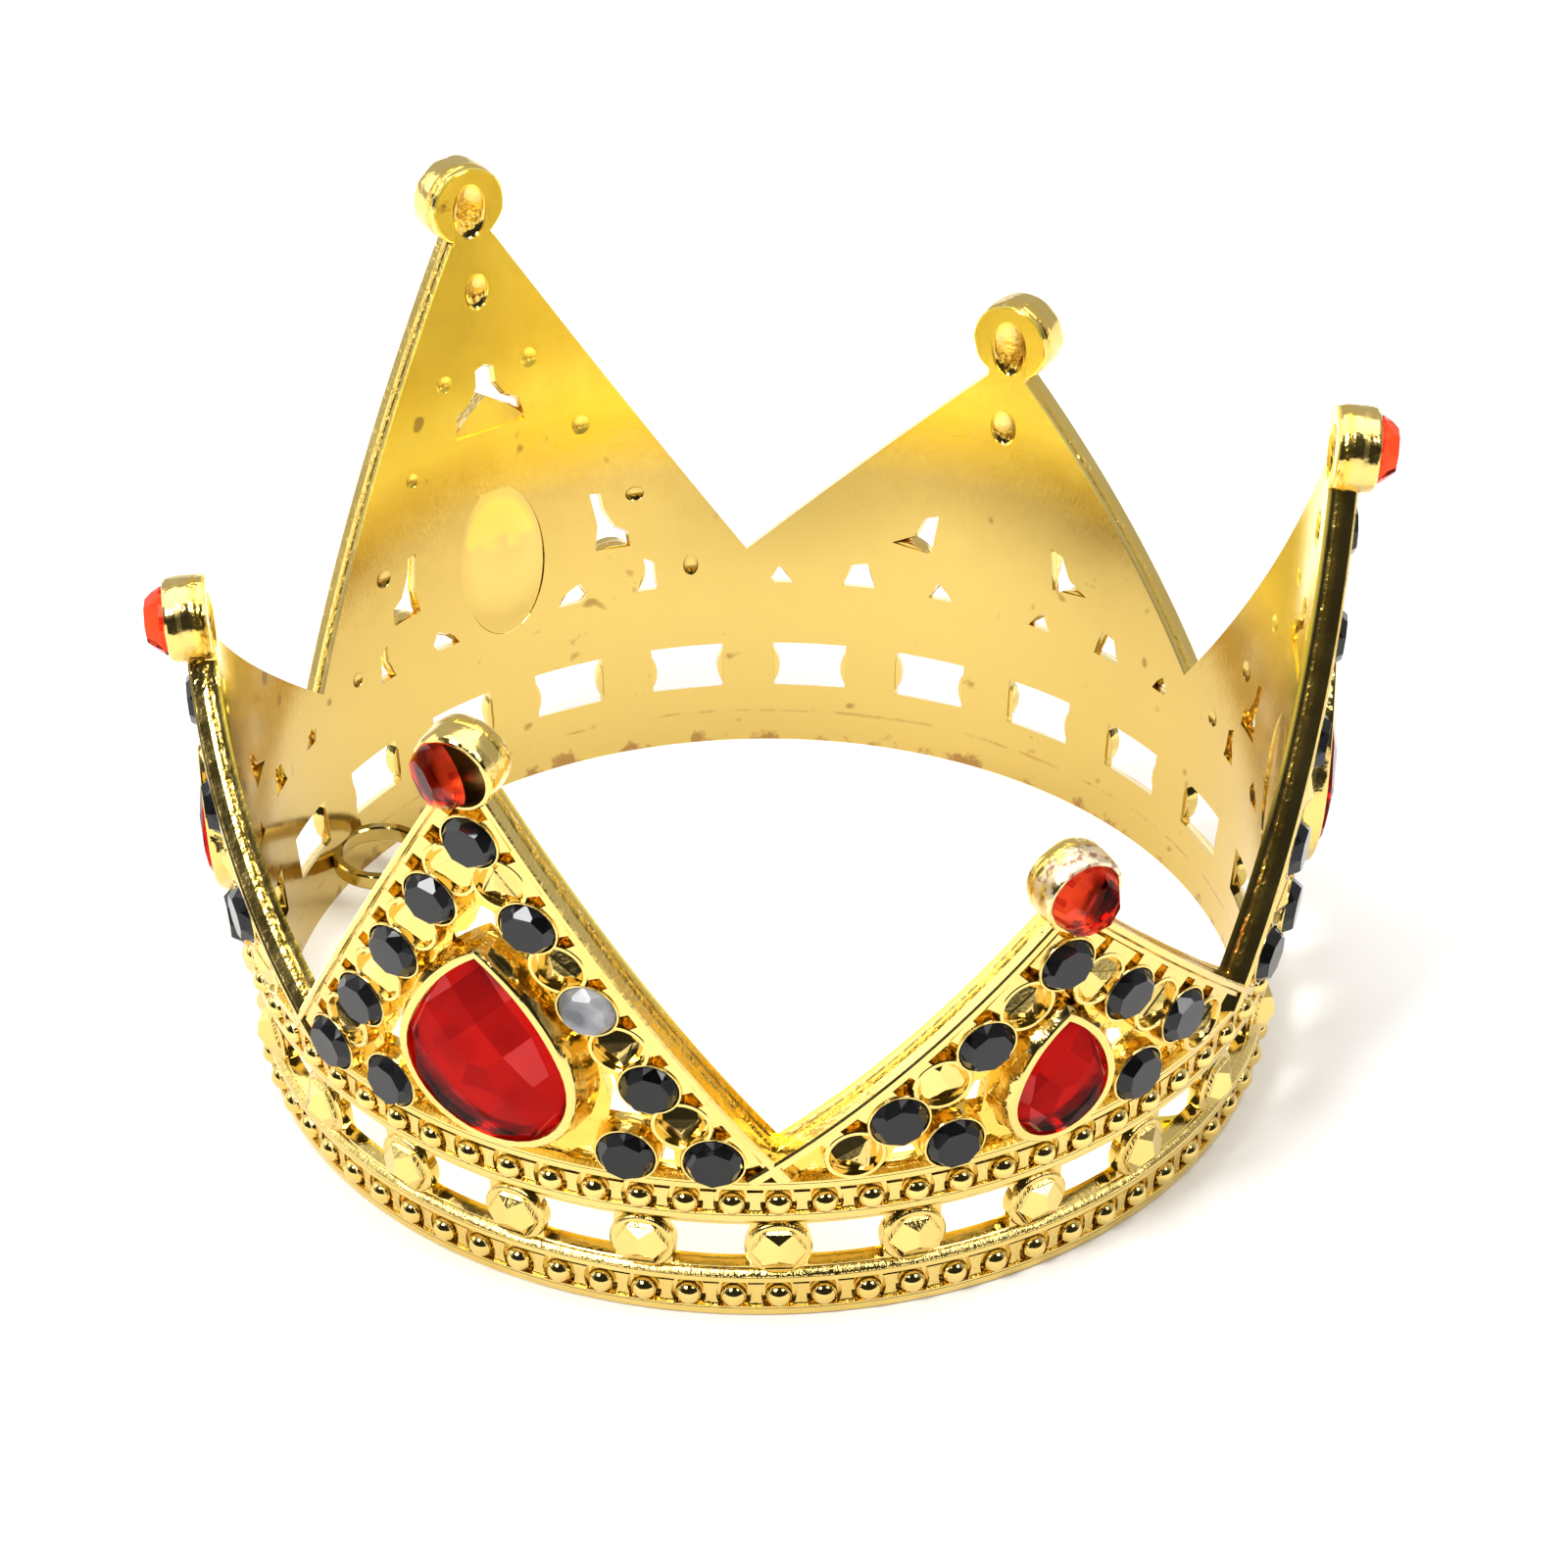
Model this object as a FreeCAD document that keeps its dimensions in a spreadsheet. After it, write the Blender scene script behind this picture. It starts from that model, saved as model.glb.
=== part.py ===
"""Costume crown: one gold-plated moulding with six points, and the stones glued into it.

Frame: millimetres, +Z up, origin on the crown's axis in the plane of its bottom edge.
The wall is a cone that flares upwards.  Tall points stand at 0, 120 and 240 degrees,
short points at 60, 180 and 300, and the valleys lie half way between them.
"""
import FreeCAD
import Part
import Sketcher
import math
import os

Vector = FreeCAD.Vector

DIMENSIONS = {
    # wall and band
    "base_radius": 42.2, "flare_rise": 0.115, "plate": 1.1, "plate_top": 59.0, "root": 0.15,
    # lengths of cutting tools, enough to pass right through
    "past_wall": 64.0, "past_plate": 3.3,
    "channel_depth": 1.0, "ridge_relief": 1.8,
    "foot_ridge_top": 0.9, "lower_ridge_base": 3.8, "lower_ridge_top": 5.1,
    "upper_ridge_base": 10.4, "upper_ridge_top": 11.8,
    "crest_ridge_base": 14.5, "band_height": 15.6,
    "bead_radius": 1.15, "lower_bead_height": 2.3, "upper_bead_height": 13.0,
    "boss_height": 7.5, "boss_radius": 2.9, "boss_relief": 1.35,
    "dome_radius": 2.1, "dome_table": 1.0, "dome_rise": 1.3,
    "slot_base": 5.2, "slot_top": 10.0, "web_half_width": 2.37,
    # points, measured square to each point's own middle plane
    "valley_height": 19.6, "valley_half_width": 22.2,
    "tall_neck_height": 53.5, "tall_neck_half_width": 2.8, "tall_finial_height": 57.9,
    "short_neck_height": 39.2, "short_neck_half_width": 2.35, "short_finial_height": 43.2,
    "throat_half_width": 2.0, "rail_relief": 2.7, "rail_width": 1.0,
    # settings and stones
    "cup_radius": 2.85, "cup_relief": 2.5, "cup_seat": 1.5, "cup_bore": 2.55,
    "collet_radius": 2.2, "collet_relief": 1.9, "stud_rise": 1.0, "stud_radius": 1.7, "stud_table": 0.8,
    "stone_radius": 2.5, "stone_girdle": 0.9, "stone_rise": 2.0, "stone_table": 1.3,
    "finial_radius": 3.75, "finial_depth": 3.8, "finial_bore": 3.1, "finial_seat": 1.9,
    "finial_back_bore": 2.7, "finial_back_depth": 1.1,
    "jewel_radius": 3.0, "jewel_foot": 2.4, "jewel_girdle": 2.2, "jewel_edge": 0.4,
    "jewel_rise": 3.7, "jewel_table": 1.5,
    "tall_pear_radius": 7.6, "tall_pear_tip": 12.4, "tall_pear_side": 21.0, "tall_pear_height": 25.4,
    "short_pear_radius": 4.5, "short_pear_tip": 7.9, "short_pear_side": 13.5, "short_pear_height": 21.4,
    "bezel_wall": 0.9, "bezel_relief": 3.3, "bezel_seat": 1.7, "pear_gap": 0.06,
    "pear_girdle": 1.4, "pear_rise": 3.2, "pear_table_share": 0.62,
    # hair-tie eyes inside the bottom edge
    "eye_radius": 4.35, "eye_bore": 3.45, "eye_base": 2.9, "eye_height": 1.5, "eye_centre": 39.1,
}

TILES = 24
BEADS_PER_TILE = 3
EYE_ANGLES = (150, 330)
POINTS = (
    ("right_tall", "tall", 0), ("back_right_short", "short", 60), ("back_left_tall", "tall", 120),
    ("left_short", "short", 180), ("front_left_tall", "tall", 240), ("front_right_short", "short", 300),
)

# A chain of settings runs down both edges of a point, straight from its top stone to its foot.
# Even places hold black stones, odd places hold moulded studs.
CHAINS = {
    "tall": {"steps": 8, "top": 49.6, "foot": 18.2, "foot_half_width": 17.9},
    "short": {"steps": 5, "top": 34.8, "foot": 18.6, "foot_half_width": 17.2},
}
BASE_STONES = {"tall": {"half_width": 11.0, "height": 18.2}, "short": {"half_width": 8.9, "height": 18.2}}

# Openings through the plate: half width from the middle plane, foot height, foot width,
# tip height above the foot and tip position across the foot.
CROWN_WINDOWS = {"tall": ((0.0, 36.0, 7.0, 6.4, 3.5),), "short": ()}
SIDE_WINDOWS = {
    "tall": ((10.8, 21.0, 3.1, 5.8, 0.3), (6.3, 15.4, 2.3, 2.1, 1.9), (13.6, 15.4, 1.9, 3.6, 1.2)),
    "short": ((8.1, 20.6, 3.6, 3.9, 0.2), (5.0, 15.4, 1.9, 1.7, 1.2), (12.6, 15.4, 2.9, 3.2, 1.5),
              (20.1, 15.4, 1.6, 1.7, 0.9)),
}

doc = FreeCAD.newDocument("crown")
dims = doc.addObject("Spreadsheet::Sheet", "dims")


def fill_sheet():
    """Write every driving dimension into its own named cell."""
    for row, (name, value) in enumerate(DIMENSIONS.items(), start=1):
        dims.set("A%d" % row, name)
        dims.set("B%d" % row, str(value))
        dims.setAlias("B%d" % row, name)
    doc.recompute()


def size(name):
    """Value of one driving dimension, read back from the sheet."""
    return float(getattr(dims, name))


def inner_radius(height):
    return size("base_radius") + size("flare_rise") * height


def on_wall(angle, height, offset=0.0):
    """Placement on the inner wall: local Z points out of it, local Y up along it."""
    lean = math.atan(size("flare_rise"))
    outward = Vector(math.cos(lean), 0, -math.sin(lean))
    upward = Vector(math.sin(lean), 0, math.cos(lean))
    base = Vector(inner_radius(height), 0, height) + outward * offset
    local = FreeCAD.Placement(base, FreeCAD.Rotation(Vector(0, 1, 0), upward, outward))
    return turned(angle).multiply(local)


def turned(angle):
    return FreeCAD.Placement(Vector(0, 0, 0), FreeCAD.Rotation(Vector(0, 0, 1), angle))


def angle_at(half_width, height):
    """Angle from a point's middle plane to a place that far out on the plate."""
    return math.degrees(math.asin(half_width / (inner_radius(height) + size("plate"))))


def solid(kind, name, sizes, placement=None):
    """A Part primitive whose sizes are bound to the sheet."""
    piece = doc.addObject("Part::" + kind, name)
    for prop, expression in sizes.items():
        piece.setExpression(prop, expression)
    if placement:
        piece.Placement = placement
    return piece


def disc(name, radius, depth, placement):
    return solid("Cylinder", name, {"Radius": radius, "Height": depth}, placement)


def raised_disc(name, radius, relief, angle, height):
    """Disc that stands on the wall: rooted just inside it and measured from its inner face."""
    return disc(name, radius, relief + " - dims.root", on_wall(angle, height, size("root")))


def cut(name, base, tool):
    result = doc.addObject("Part::Cut", name)
    result.Base = base
    result.Tool = tool
    return result


def common(name, base, tool):
    result = doc.addObject("Part::Common", name)
    result.Base = base
    result.Tool = tool
    return result


def fuse(name, pieces):
    result = doc.addObject("Part::MultiFuse", name)
    result.Shapes = pieces
    return result


def wall_layer(name, outside):
    """Sixty degrees of conical sleeve, from the inner wall out to an offset."""
    sleeves = []
    for side, offset in (("core", "0"), ("skin", outside)):
        sleeves.append(solid("Cone", name + "_" + side, {
            "Radius1": "dims.base_radius + " + offset,
            "Radius2": "dims.base_radius + dims.flare_rise * dims.plate_top + " + offset,
            "Height": "dims.plate_top", "Angle": "360 / %d" % len(POINTS),
        }, turned(-180 / len(POINTS))))
    return cut(name, sleeves[1], sleeves[0])


# ---------------------------------------------------------------- sketches

def pin(sketch, index, end, across, up):
    """Fix one end of an edge at expressions measured from the sketch origin."""
    for kind, expression in (("DistanceX", across), ("DistanceY", up)):
        value = float(sketch.evalExpression(expression))
        if value < 0:
            ends = (index, end, -1, 1)
            expression = "-(" + expression + ")"
        else:
            ends = (-1, 1, index, end)
        number = sketch.addConstraint(Sketcher.Constraint(kind, *ends, abs(value)))
        sketch.setExpression("Constraints[%d]" % number, expression)


def draw_polygon(sketch, corners):
    """Closed outline through corners given as pairs of expressions."""
    places = []
    for across, up in corners:
        places.append(Vector(float(sketch.evalExpression(across)), float(sketch.evalExpression(up)), 0))
    count = len(corners)
    for index in range(count):
        sketch.addGeometry(Part.LineSegment(places[index], places[(index + 1) % count]), False)
    for index in range(count):
        sketch.addConstraint(Sketcher.Constraint("Coincident", index, 2, (index + 1) % count, 1))
    for index, (across, up) in enumerate(corners):
        pin(sketch, index, 1, across, up)


def draw_pear(sketch, radius, tip, side, grow):
    """Pear outline, point up: one round foot arc and two flatter side arcs that meet at the tip."""
    foot_radius = float(sketch.evalExpression(radius + grow))
    tip_height = float(sketch.evalExpression(tip + grow))
    reach = float(sketch.evalExpression(side + grow)) - foot_radius
    sine = (foot_radius + (foot_radius ** 2 - tip_height ** 2) / (2 * reach)) / tip_height
    join = math.asin(sine)
    centre = Vector(-reach * math.cos(join), -reach * math.sin(join), 0)
    top = math.atan2(tip_height - centre.y, -centre.x)
    mirrored = Vector(-centre.x, centre.y, 0)
    z_axis = Vector(0, 0, 1)
    sketch.addGeometry(Part.ArcOfCircle(Part.Circle(Vector(0, 0, 0), z_axis, foot_radius),
                                        math.pi - join, 2 * math.pi + join), False)
    for middle, start, finish in ((centre, join, top), (mirrored, math.pi - top, math.pi - join)):
        sketch.addGeometry(Part.ArcOfCircle(Part.Circle(middle, z_axis, foot_radius + reach),
                                            start, finish), False)
    sketch.addConstraint(Sketcher.Constraint("Coincident", 0, 3, -1, 1))
    sketch.addConstraint(Sketcher.Constraint("Tangent", 0, 2, 1, 1))
    sketch.addConstraint(Sketcher.Constraint("Coincident", 1, 2, 2, 1))
    sketch.addConstraint(Sketcher.Constraint("Tangent", 2, 2, 0, 1))
    sketch.addConstraint(Sketcher.Constraint("PointOnObject", 1, 2, -2))
    sketch.addConstraint(Sketcher.Constraint("Equal", 1, 2))
    for kind, target, value, expression in (
            ("Radius", (0,), foot_radius, radius + grow),
            ("Radius", (1,), foot_radius + reach, side + grow),
            ("DistanceY", (-1, 1, 1, 2), tip_height, tip + grow)):
        number = sketch.addConstraint(Sketcher.Constraint(kind, *target, value))
        sketch.setExpression("Constraints[%d]" % number, expression)


def loose_sketch(name, placement):
    sketch = doc.addObject("Sketcher::SketchObject", name)
    sketch.Placement = placement
    return sketch


def extrude(name, sketch, length, placement=None):
    """Straight prism of a sketch along the sketch's own normal."""
    prism = doc.addObject("Part::Extrusion", name)
    prism.Base = sketch
    prism.DirMode = "Normal"
    prism.setExpression("LengthFwd", length)
    prism.Solid = True
    if placement:
        prism.Placement = placement
    return prism


def body_sketch(body, name, plane, lift=None):
    """Sketch on one of the body's own origin planes, raised by an expression if given."""
    sketch = body.newObject("Sketcher::SketchObject", name)
    for feature in body.Origin.OriginFeatures:
        if feature.Role == plane:
            sketch.AttachmentSupport = [(feature, "")]
    sketch.MapMode = "FlatFace"
    if lift:
        sketch.setExpression(".AttachmentOffset.Base.z", lift)
    doc.recompute()
    return sketch


# ---------------------------------------------------------------- moulding

def point_outline(kind, name, inset):
    """Prism over one point, pulled straight outwards: edges run from the neck down past the valley."""
    neck = "dims.%s_neck" % kind
    slope = "(%s_height - dims.valley_height) / (dims.valley_half_width - %s_half_width)" % (neck, neck)
    foot_up = "dims.band_height"
    foot_out = "dims.valley_half_width + (dims.valley_height - dims.band_height) / (" + slope + ") - " + inset
    neck_out = neck + "_half_width - " + inset
    head_out = "dims.throat_half_width - " + inset
    head_up = "dims.%s_finial_height" % kind
    neck_up = neck + "_height"
    sketch = loose_sketch(name + "_sketch", FreeCAD.Placement(
        Vector(0, 0, 0), FreeCAD.Rotation(Vector(0, 1, 0), Vector(0, 0, 1), Vector(1, 0, 0))))
    draw_polygon(sketch, (
        ("-(" + foot_out + ")", foot_up), (foot_out, foot_up), (neck_out, neck_up),
        (head_out, head_up), ("-(" + head_out + ")", head_up), ("-(" + neck_out + ")", neck_up)))
    return extrude(name, sketch, "dims.past_wall")


def copies(name, source, angles):
    """Linked copies of one object turned about the axis."""
    links = []
    for index, angle in enumerate(angles):
        link = doc.addObject("App::Link", "%s_%d" % (name, index))
        link.LinkedObject = source
        link.LinkTransform = True
        link.Placement = turned(angle)
        links.append(link)
    return links


def point_angles(kind):
    return [angle for _, point_kind, angle in POINTS if point_kind == kind]


def band_tile():
    """One repeat of the band: four ridges, a faceted boss, beads, and half a slot at each side."""
    body = doc.addObject("PartDesign::Body", "tile")
    profile = body_sketch(body, "tile_profile", "XZ_Plane")
    skin = "dims.base_radius + dims.flare_rise * (%s) + dims.%s"
    levels = (("0", "ridge_relief"), ("dims.foot_ridge_top", "ridge_relief"),
              ("dims.foot_ridge_top", "channel_depth"), ("dims.lower_ridge_base", "channel_depth"),
              ("dims.lower_ridge_base", "ridge_relief"), ("dims.lower_ridge_top", "ridge_relief"),
              ("dims.lower_ridge_top", "channel_depth"), ("dims.upper_ridge_base", "channel_depth"),
              ("dims.upper_ridge_base", "ridge_relief"), ("dims.upper_ridge_top", "ridge_relief"),
              ("dims.upper_ridge_top", "channel_depth"), ("dims.crest_ridge_base", "channel_depth"),
              ("dims.crest_ridge_base", "ridge_relief"), ("dims.band_height", "ridge_relief"))
    corners = [("dims.base_radius", "0")]
    corners += [(skin % (height, relief), height) for height, relief in levels]
    corners.append(("dims.base_radius + dims.flare_rise * dims.band_height", "dims.band_height"))
    draw_polygon(profile, corners)
    turn = body.newObject("PartDesign::Revolution", "tile_ring")
    turn.Profile = profile
    turn.ReferenceAxis = (profile, ["V_Axis"])
    turn.Angle = 360 / TILES
    turn.Midplane = True
    doc.recompute()
    before = turn.Shape.Volume
    for side in ("", "-"):
        name = "slot_left" if side else "slot_right"
        sketch = body_sketch(body, name + "_sketch", "YZ_Plane")
        web = side + "dims.web_half_width"
        clear = side + "3 * dims.web_half_width"
        draw_polygon(sketch, ((web, "dims.slot_base"), (clear, "dims.slot_base"),
                              (clear, "dims.slot_top"), (web, "dims.slot_top")))
        slot = body.newObject("PartDesign::Pocket", name)
        slot.Profile = sketch
        slot.Type = "Length"
        slot.setExpression("Length", "dims.past_wall")
        slot.Reversed = True
        body.Tip = slot
        doc.recompute()
        if slot.Shape.Volume >= before:
            raise RuntimeError("slot cuts nothing")
        before = slot.Shape.Volume
    trim = [raised_disc("boss", "dims.boss_radius", "dims.boss_relief", 0, size("boss_height"))]
    trim.append(solid("Cone", "dome", {
        "Radius1": "dims.dome_radius", "Radius2": "dims.dome_table", "Height": "dims.dome_rise",
    }, on_wall(0, size("boss_height"), size("boss_relief"))))
    for row in ("lower", "upper"):
        for place in range(BEADS_PER_TILE):
            angle = 360 / TILES * (place - BEADS_PER_TILE // 2) / BEADS_PER_TILE
            trim.append(solid("Sphere", "%s_bead_%d" % (row, place), {"Radius": "dims.bead_radius"},
                              on_wall(angle, size(row + "_bead_height"), size("channel_depth"))))
    return fuse("band_tile", [body] + trim)


def chain_places(kind):
    """Angle and height of every place in one point's chain, on its positive side."""
    chain = CHAINS[kind]
    places = []
    for step in range(chain["steps"] + 1):
        share = step / chain["steps"]
        height = chain["top"] + share * (chain["foot"] - chain["top"])
        places.append((angle_at(share * chain["foot_half_width"], height), height))
    return places


def stone_places(kind):
    """Black stones of one point by group name: a list of angle and height each."""
    chain = chain_places(kind)
    base = BASE_STONES[kind]
    base_angle = angle_at(base["half_width"], base["height"])
    edge = chain[2::2]
    return {
        "top_stone": [chain[0]],
        "left_edge_stones": [(-angle, height) for angle, height in edge],
        "right_edge_stones": edge,
        "left_base_stone": [(-base_angle, base["height"])],
        "right_base_stone": [(base_angle, base["height"])],
    }


def settings(kind):
    """Cups for the black stones and studs between them, in one point's own frame."""
    pieces = []
    for group, places in stone_places(kind).items():
        for index, (angle, height) in enumerate(places):
            name = "%s_%s_cup_%d" % (kind, group, index)
            pieces.append(raised_disc(name, "dims.cup_radius", "dims.cup_relief", angle, height))
    for index, (angle, height) in enumerate(chain_places(kind)[1::2]):
        for side in (-1, 1):
            name = "%s_%d_%d" % (kind, index, side)
            pieces.append(raised_disc("collet_" + name, "dims.collet_radius", "dims.collet_relief",
                                      side * angle, height))
            pieces.append(solid("Cone", "stud_" + name, {
                "Radius1": "dims.stud_radius", "Radius2": "dims.stud_table", "Height": "dims.stud_rise",
            }, on_wall(side * angle, height, size("collet_relief"))))
    return pieces


def pear_prism(kind, name, grow, length, lift):
    """Prism of the pear outline standing out from the wall."""
    sketch = loose_sketch(name + "_sketch", FreeCAD.Placement())
    pear = "dims.%s_pear_" % kind
    draw_pear(sketch, pear + "radius", pear + "tip", pear + "side", grow)
    return extrude(name, sketch, length, on_wall(0, size("%s_pear_height" % kind), lift))


def opening(name, angle, foot, width, height, lean):
    """Triangular prism through the plate, apex up."""
    depth = size("past_plate")
    wedge = doc.addObject("Part::Wedge", name)
    wedge.Xmin = -width / 2
    wedge.Xmax = width / 2
    wedge.X2min = lean - width / 2
    wedge.X2max = lean - width / 2
    wedge.Ymin = 0
    wedge.Ymax = height
    wedge.Zmin = -depth
    wedge.Zmax = depth
    wedge.Z2min = -depth
    wedge.Z2max = depth
    wedge.Placement = on_wall(angle, foot)
    return wedge


def openings(kind):
    """Every window between the settings of one point, in the point's own frame."""
    pieces = []
    for index, (_, foot, width, height, lean) in enumerate(CROWN_WINDOWS[kind]):
        pieces.append(opening("%s_crown_window_%d" % (kind, index), 0, foot, width, height, lean))
    for index, (half_width, foot, width, height, lean) in enumerate(SIDE_WINDOWS[kind]):
        angle = angle_at(half_width, foot)
        for side in (-1, 1):
            name = "%s_window_%d_%d" % (kind, index, side)
            across = lean if side > 0 else width - lean
            pieces.append(opening(name, side * angle, foot, width, height, across))
    return pieces


def seats(kind):
    """Recesses that the stones drop into, in one point's own frame."""
    pieces = []
    for group, places in stone_places(kind).items():
        for index, (angle, height) in enumerate(places):
            name = "%s_%s_seat_%d" % (kind, group, index)
            pieces.append(disc(name, "dims.cup_bore", "dims.cup_relief",
                               on_wall(angle, height, size("cup_seat"))))
    height = size("%s_finial_height" % kind)
    pieces.append(pear_prism(kind, kind + "_pear_seat", " + dims.pear_gap", "dims.bezel_relief",
                             size("bezel_seat")))
    pieces.append(disc(kind + "_finial_seat", "dims.finial_bore", "dims.finial_depth",
                       on_wall(0, height, size("finial_seat"))))
    pieces.append(disc(kind + "_finial_back", "dims.finial_back_bore", "dims.finial_back_depth * 2",
                       on_wall(0, height, -size("finial_back_depth"))))
    return pieces


def point(kind):
    """One point: plate with windows, raised rails, bezel, cups, studs and finial cup."""
    outline = point_outline(kind, kind + "_outline", "0")
    inset = point_outline(kind, kind + "_inset", "dims.rail_width")
    plate = common(kind + "_plate", wall_layer(kind + "_plate_layer", "dims.plate"), outline)
    pierced = cut(kind + "_pierced", plate, fuse(kind + "_windows", openings(kind)))
    rim = cut(kind + "_rim", outline, inset)
    rails = common(kind + "_rails", wall_layer(kind + "_rail_layer", "dims.rail_relief"), rim)
    pear = pear_prism(kind, kind + "_bezel", " + dims.bezel_wall", "dims.bezel_relief - dims.root",
                      size("root"))
    finial = raised_disc(kind + "_finial_cup", "dims.finial_radius", "dims.finial_depth",
                         0, size("%s_finial_height" % kind))
    blank = fuse(kind + "_blank", [pierced, rails, pear, finial] + settings(kind))
    below = solid("Cylinder", kind + "_band_zone", {
        "Radius": "dims.past_wall", "Height": "dims.band_height",
    })
    return cut(kind + "_point", blank, fuse(kind + "_seats", seats(kind) + [below]))


def eye(angle):
    """Flat ring inside the bottom edge, for a hairpin or a tie."""
    centre = turned(angle).multVec(Vector(size("eye_centre"), 0, size("eye_base")))
    place = FreeCAD.Placement(centre, FreeCAD.Rotation())
    ring = disc("eye_ring_%d" % angle, "dims.eye_radius", "dims.eye_height", place)
    bore = disc("eye_bore_%d" % angle, "dims.eye_bore", "dims.eye_height", place)
    return cut("eye_%d" % angle, ring, bore)


def crown_shell():
    pieces = copies("tile_copy", band_tile(), [360 / TILES * place for place in range(TILES)])
    for kind in ("tall", "short"):
        pieces += copies(kind + "_copy", point(kind), point_angles(kind))
    pieces += [eye(angle) for angle in EYE_ANGLES]
    shell = fuse("crown_shell", pieces)
    shell.Refine = True
    return shell


# ---------------------------------------------------------------- stones

def round_stone(name, corners):
    """Body turned from a half section given as pairs of expressions."""
    body = doc.addObject("PartDesign::Body", name)
    profile = body_sketch(body, name + "_profile", "XZ_Plane")
    draw_polygon(profile, corners)
    turn = body.newObject("PartDesign::Revolution", name + "_turn")
    turn.Profile = profile
    turn.ReferenceAxis = (profile, ["V_Axis"])
    turn.Angle = 360
    body.Tip = turn
    return body


def black_stone():
    return round_stone("black_stone", (
        ("0", "0"), ("dims.stone_radius", "0"), ("dims.stone_radius", "dims.stone_girdle"),
        ("dims.stone_table", "dims.stone_rise"), ("0", "dims.stone_rise")))


def jewel():
    edge = "dims.jewel_girdle + dims.jewel_edge"
    return round_stone("jewel", (
        ("0", "0"), ("dims.jewel_foot", "0"), ("dims.jewel_radius", "dims.jewel_girdle"),
        ("dims.jewel_radius", edge), ("dims.jewel_table", "dims.jewel_rise"), ("0", "dims.jewel_rise")))


def pear_stone(kind):
    """Flat-backed pear: straight girdle under a crown that narrows to its table."""
    body = doc.addObject("PartDesign::Body", kind + "_pear")
    pear = "dims.%s_pear_" % kind
    levels = (("foot", "0", "1"), ("edge", "dims.pear_girdle", "1"),
              ("table", "dims.pear_rise", "dims.pear_table_share"))
    sketches = []
    for level, lift, share in levels:
        sketch = body_sketch(body, "%s_pear_%s" % (kind, level), "XY_Plane", lift)
        draw_pear(sketch, share + " * " + pear + "radius", share + " * " + pear + "tip",
                  share + " * " + pear + "side", "")
        sketches.append(sketch)
    pad = body.newObject("PartDesign::Pad", kind + "_pear_girdle")
    pad.Profile = sketches[0]
    pad.setExpression("Length", "dims.pear_girdle")
    doc.recompute()
    loft = body.newObject("PartDesign::AdditiveLoft", kind + "_pear_crown")
    loft.Profile = sketches[1]
    loft.Sections = [sketches[2]]
    loft.Ruled = True
    body.Tip = loft
    return body


def placed(name, source, places):
    """Node of linked stones, one at each placement."""
    links = []
    for index, place in enumerate(places):
        link = doc.addObject("App::Link", "%s_%d" % (name, index))
        link.LinkedObject = source
        link.LinkTransform = False
        link.Placement = place
        links.append(link)
    node = doc.addObject("Part::Compound", name)
    node.Links = links
    return node


def stones():
    """All stones, point by point."""
    black = black_stone()
    red = jewel()
    pears = {kind: pear_stone(kind) for kind in ("tall", "short")}
    nodes = []
    for point_name, kind, turn in POINTS:
        for group, places in stone_places(kind).items():
            seats_here = [on_wall(turn + angle, height, size("cup_seat")) for angle, height in places]
            nodes.append(placed(point_name + "_" + group, black, seats_here))
        finial_seat = on_wall(turn, size(kind + "_finial_height"), size("finial_seat"))
        pear_seat = on_wall(turn, size(kind + "_pear_height"), size("bezel_seat"))
        nodes.append(placed(point_name + "_finial_jewel", red, [finial_seat]))
        nodes.append(placed(point_name + "_pear_jewel", pears[kind], [pear_seat]))
    return nodes


def write_parts(nodes):
    """Check the whole document, then write one STEP file per node."""
    failed = [item.Name for item in doc.Objects if set(item.State) & {"Invalid", "Error"}]
    if failed:
        raise RuntimeError("features failed: " + ", ".join(failed))
    for node in nodes:
        node.Label = node.Name
        if node.Shape.isNull() or not node.Shape.isValid():
            raise RuntimeError("bad shape: " + node.Name)
    os.makedirs("parts", exist_ok=True)
    for node in nodes:
        node.Shape.exportStep("parts/%s.step" % node.Name)
        print("%-36s %2d solids %10.1f mm3" % (node.Name, len(node.Shape.Solids), node.Shape.Volume))


fill_sheet()
all_nodes = [crown_shell()] + stones()
doc.recompute()
write_parts(all_nodes)
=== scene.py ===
"""Costume crown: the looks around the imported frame.

Shapes are worked out in millimetres, the unit of the part's drawing, and become metres when a
mesh is made.  Angles are in degrees about the crown's axis.
"""
import bpy
import bmesh
import math
import random
from mathutils import Matrix, Vector, noise


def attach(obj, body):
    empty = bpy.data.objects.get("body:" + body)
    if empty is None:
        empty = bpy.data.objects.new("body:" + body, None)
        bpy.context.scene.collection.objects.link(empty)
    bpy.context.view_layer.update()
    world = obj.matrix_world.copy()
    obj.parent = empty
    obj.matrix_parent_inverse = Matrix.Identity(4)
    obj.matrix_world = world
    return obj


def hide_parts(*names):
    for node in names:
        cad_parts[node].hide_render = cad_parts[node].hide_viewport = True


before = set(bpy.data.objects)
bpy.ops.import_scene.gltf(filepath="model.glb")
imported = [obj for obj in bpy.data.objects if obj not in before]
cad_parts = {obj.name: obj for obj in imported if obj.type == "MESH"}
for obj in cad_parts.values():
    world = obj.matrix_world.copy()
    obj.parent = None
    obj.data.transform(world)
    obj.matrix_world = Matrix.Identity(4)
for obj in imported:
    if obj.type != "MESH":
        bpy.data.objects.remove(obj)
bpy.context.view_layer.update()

# Wall: a cone measured on its inner face, as in the frame.
BASE_RADIUS = 42.2
FLARE = 0.115
LEAN = math.atan(FLARE)
PLATE = 1.1
BAND_TOP = 15.6
VALLEY_HEIGHT = 19.6
VALLEY_HALF = 22.2
FOOT_LIFT = 0.2

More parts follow.
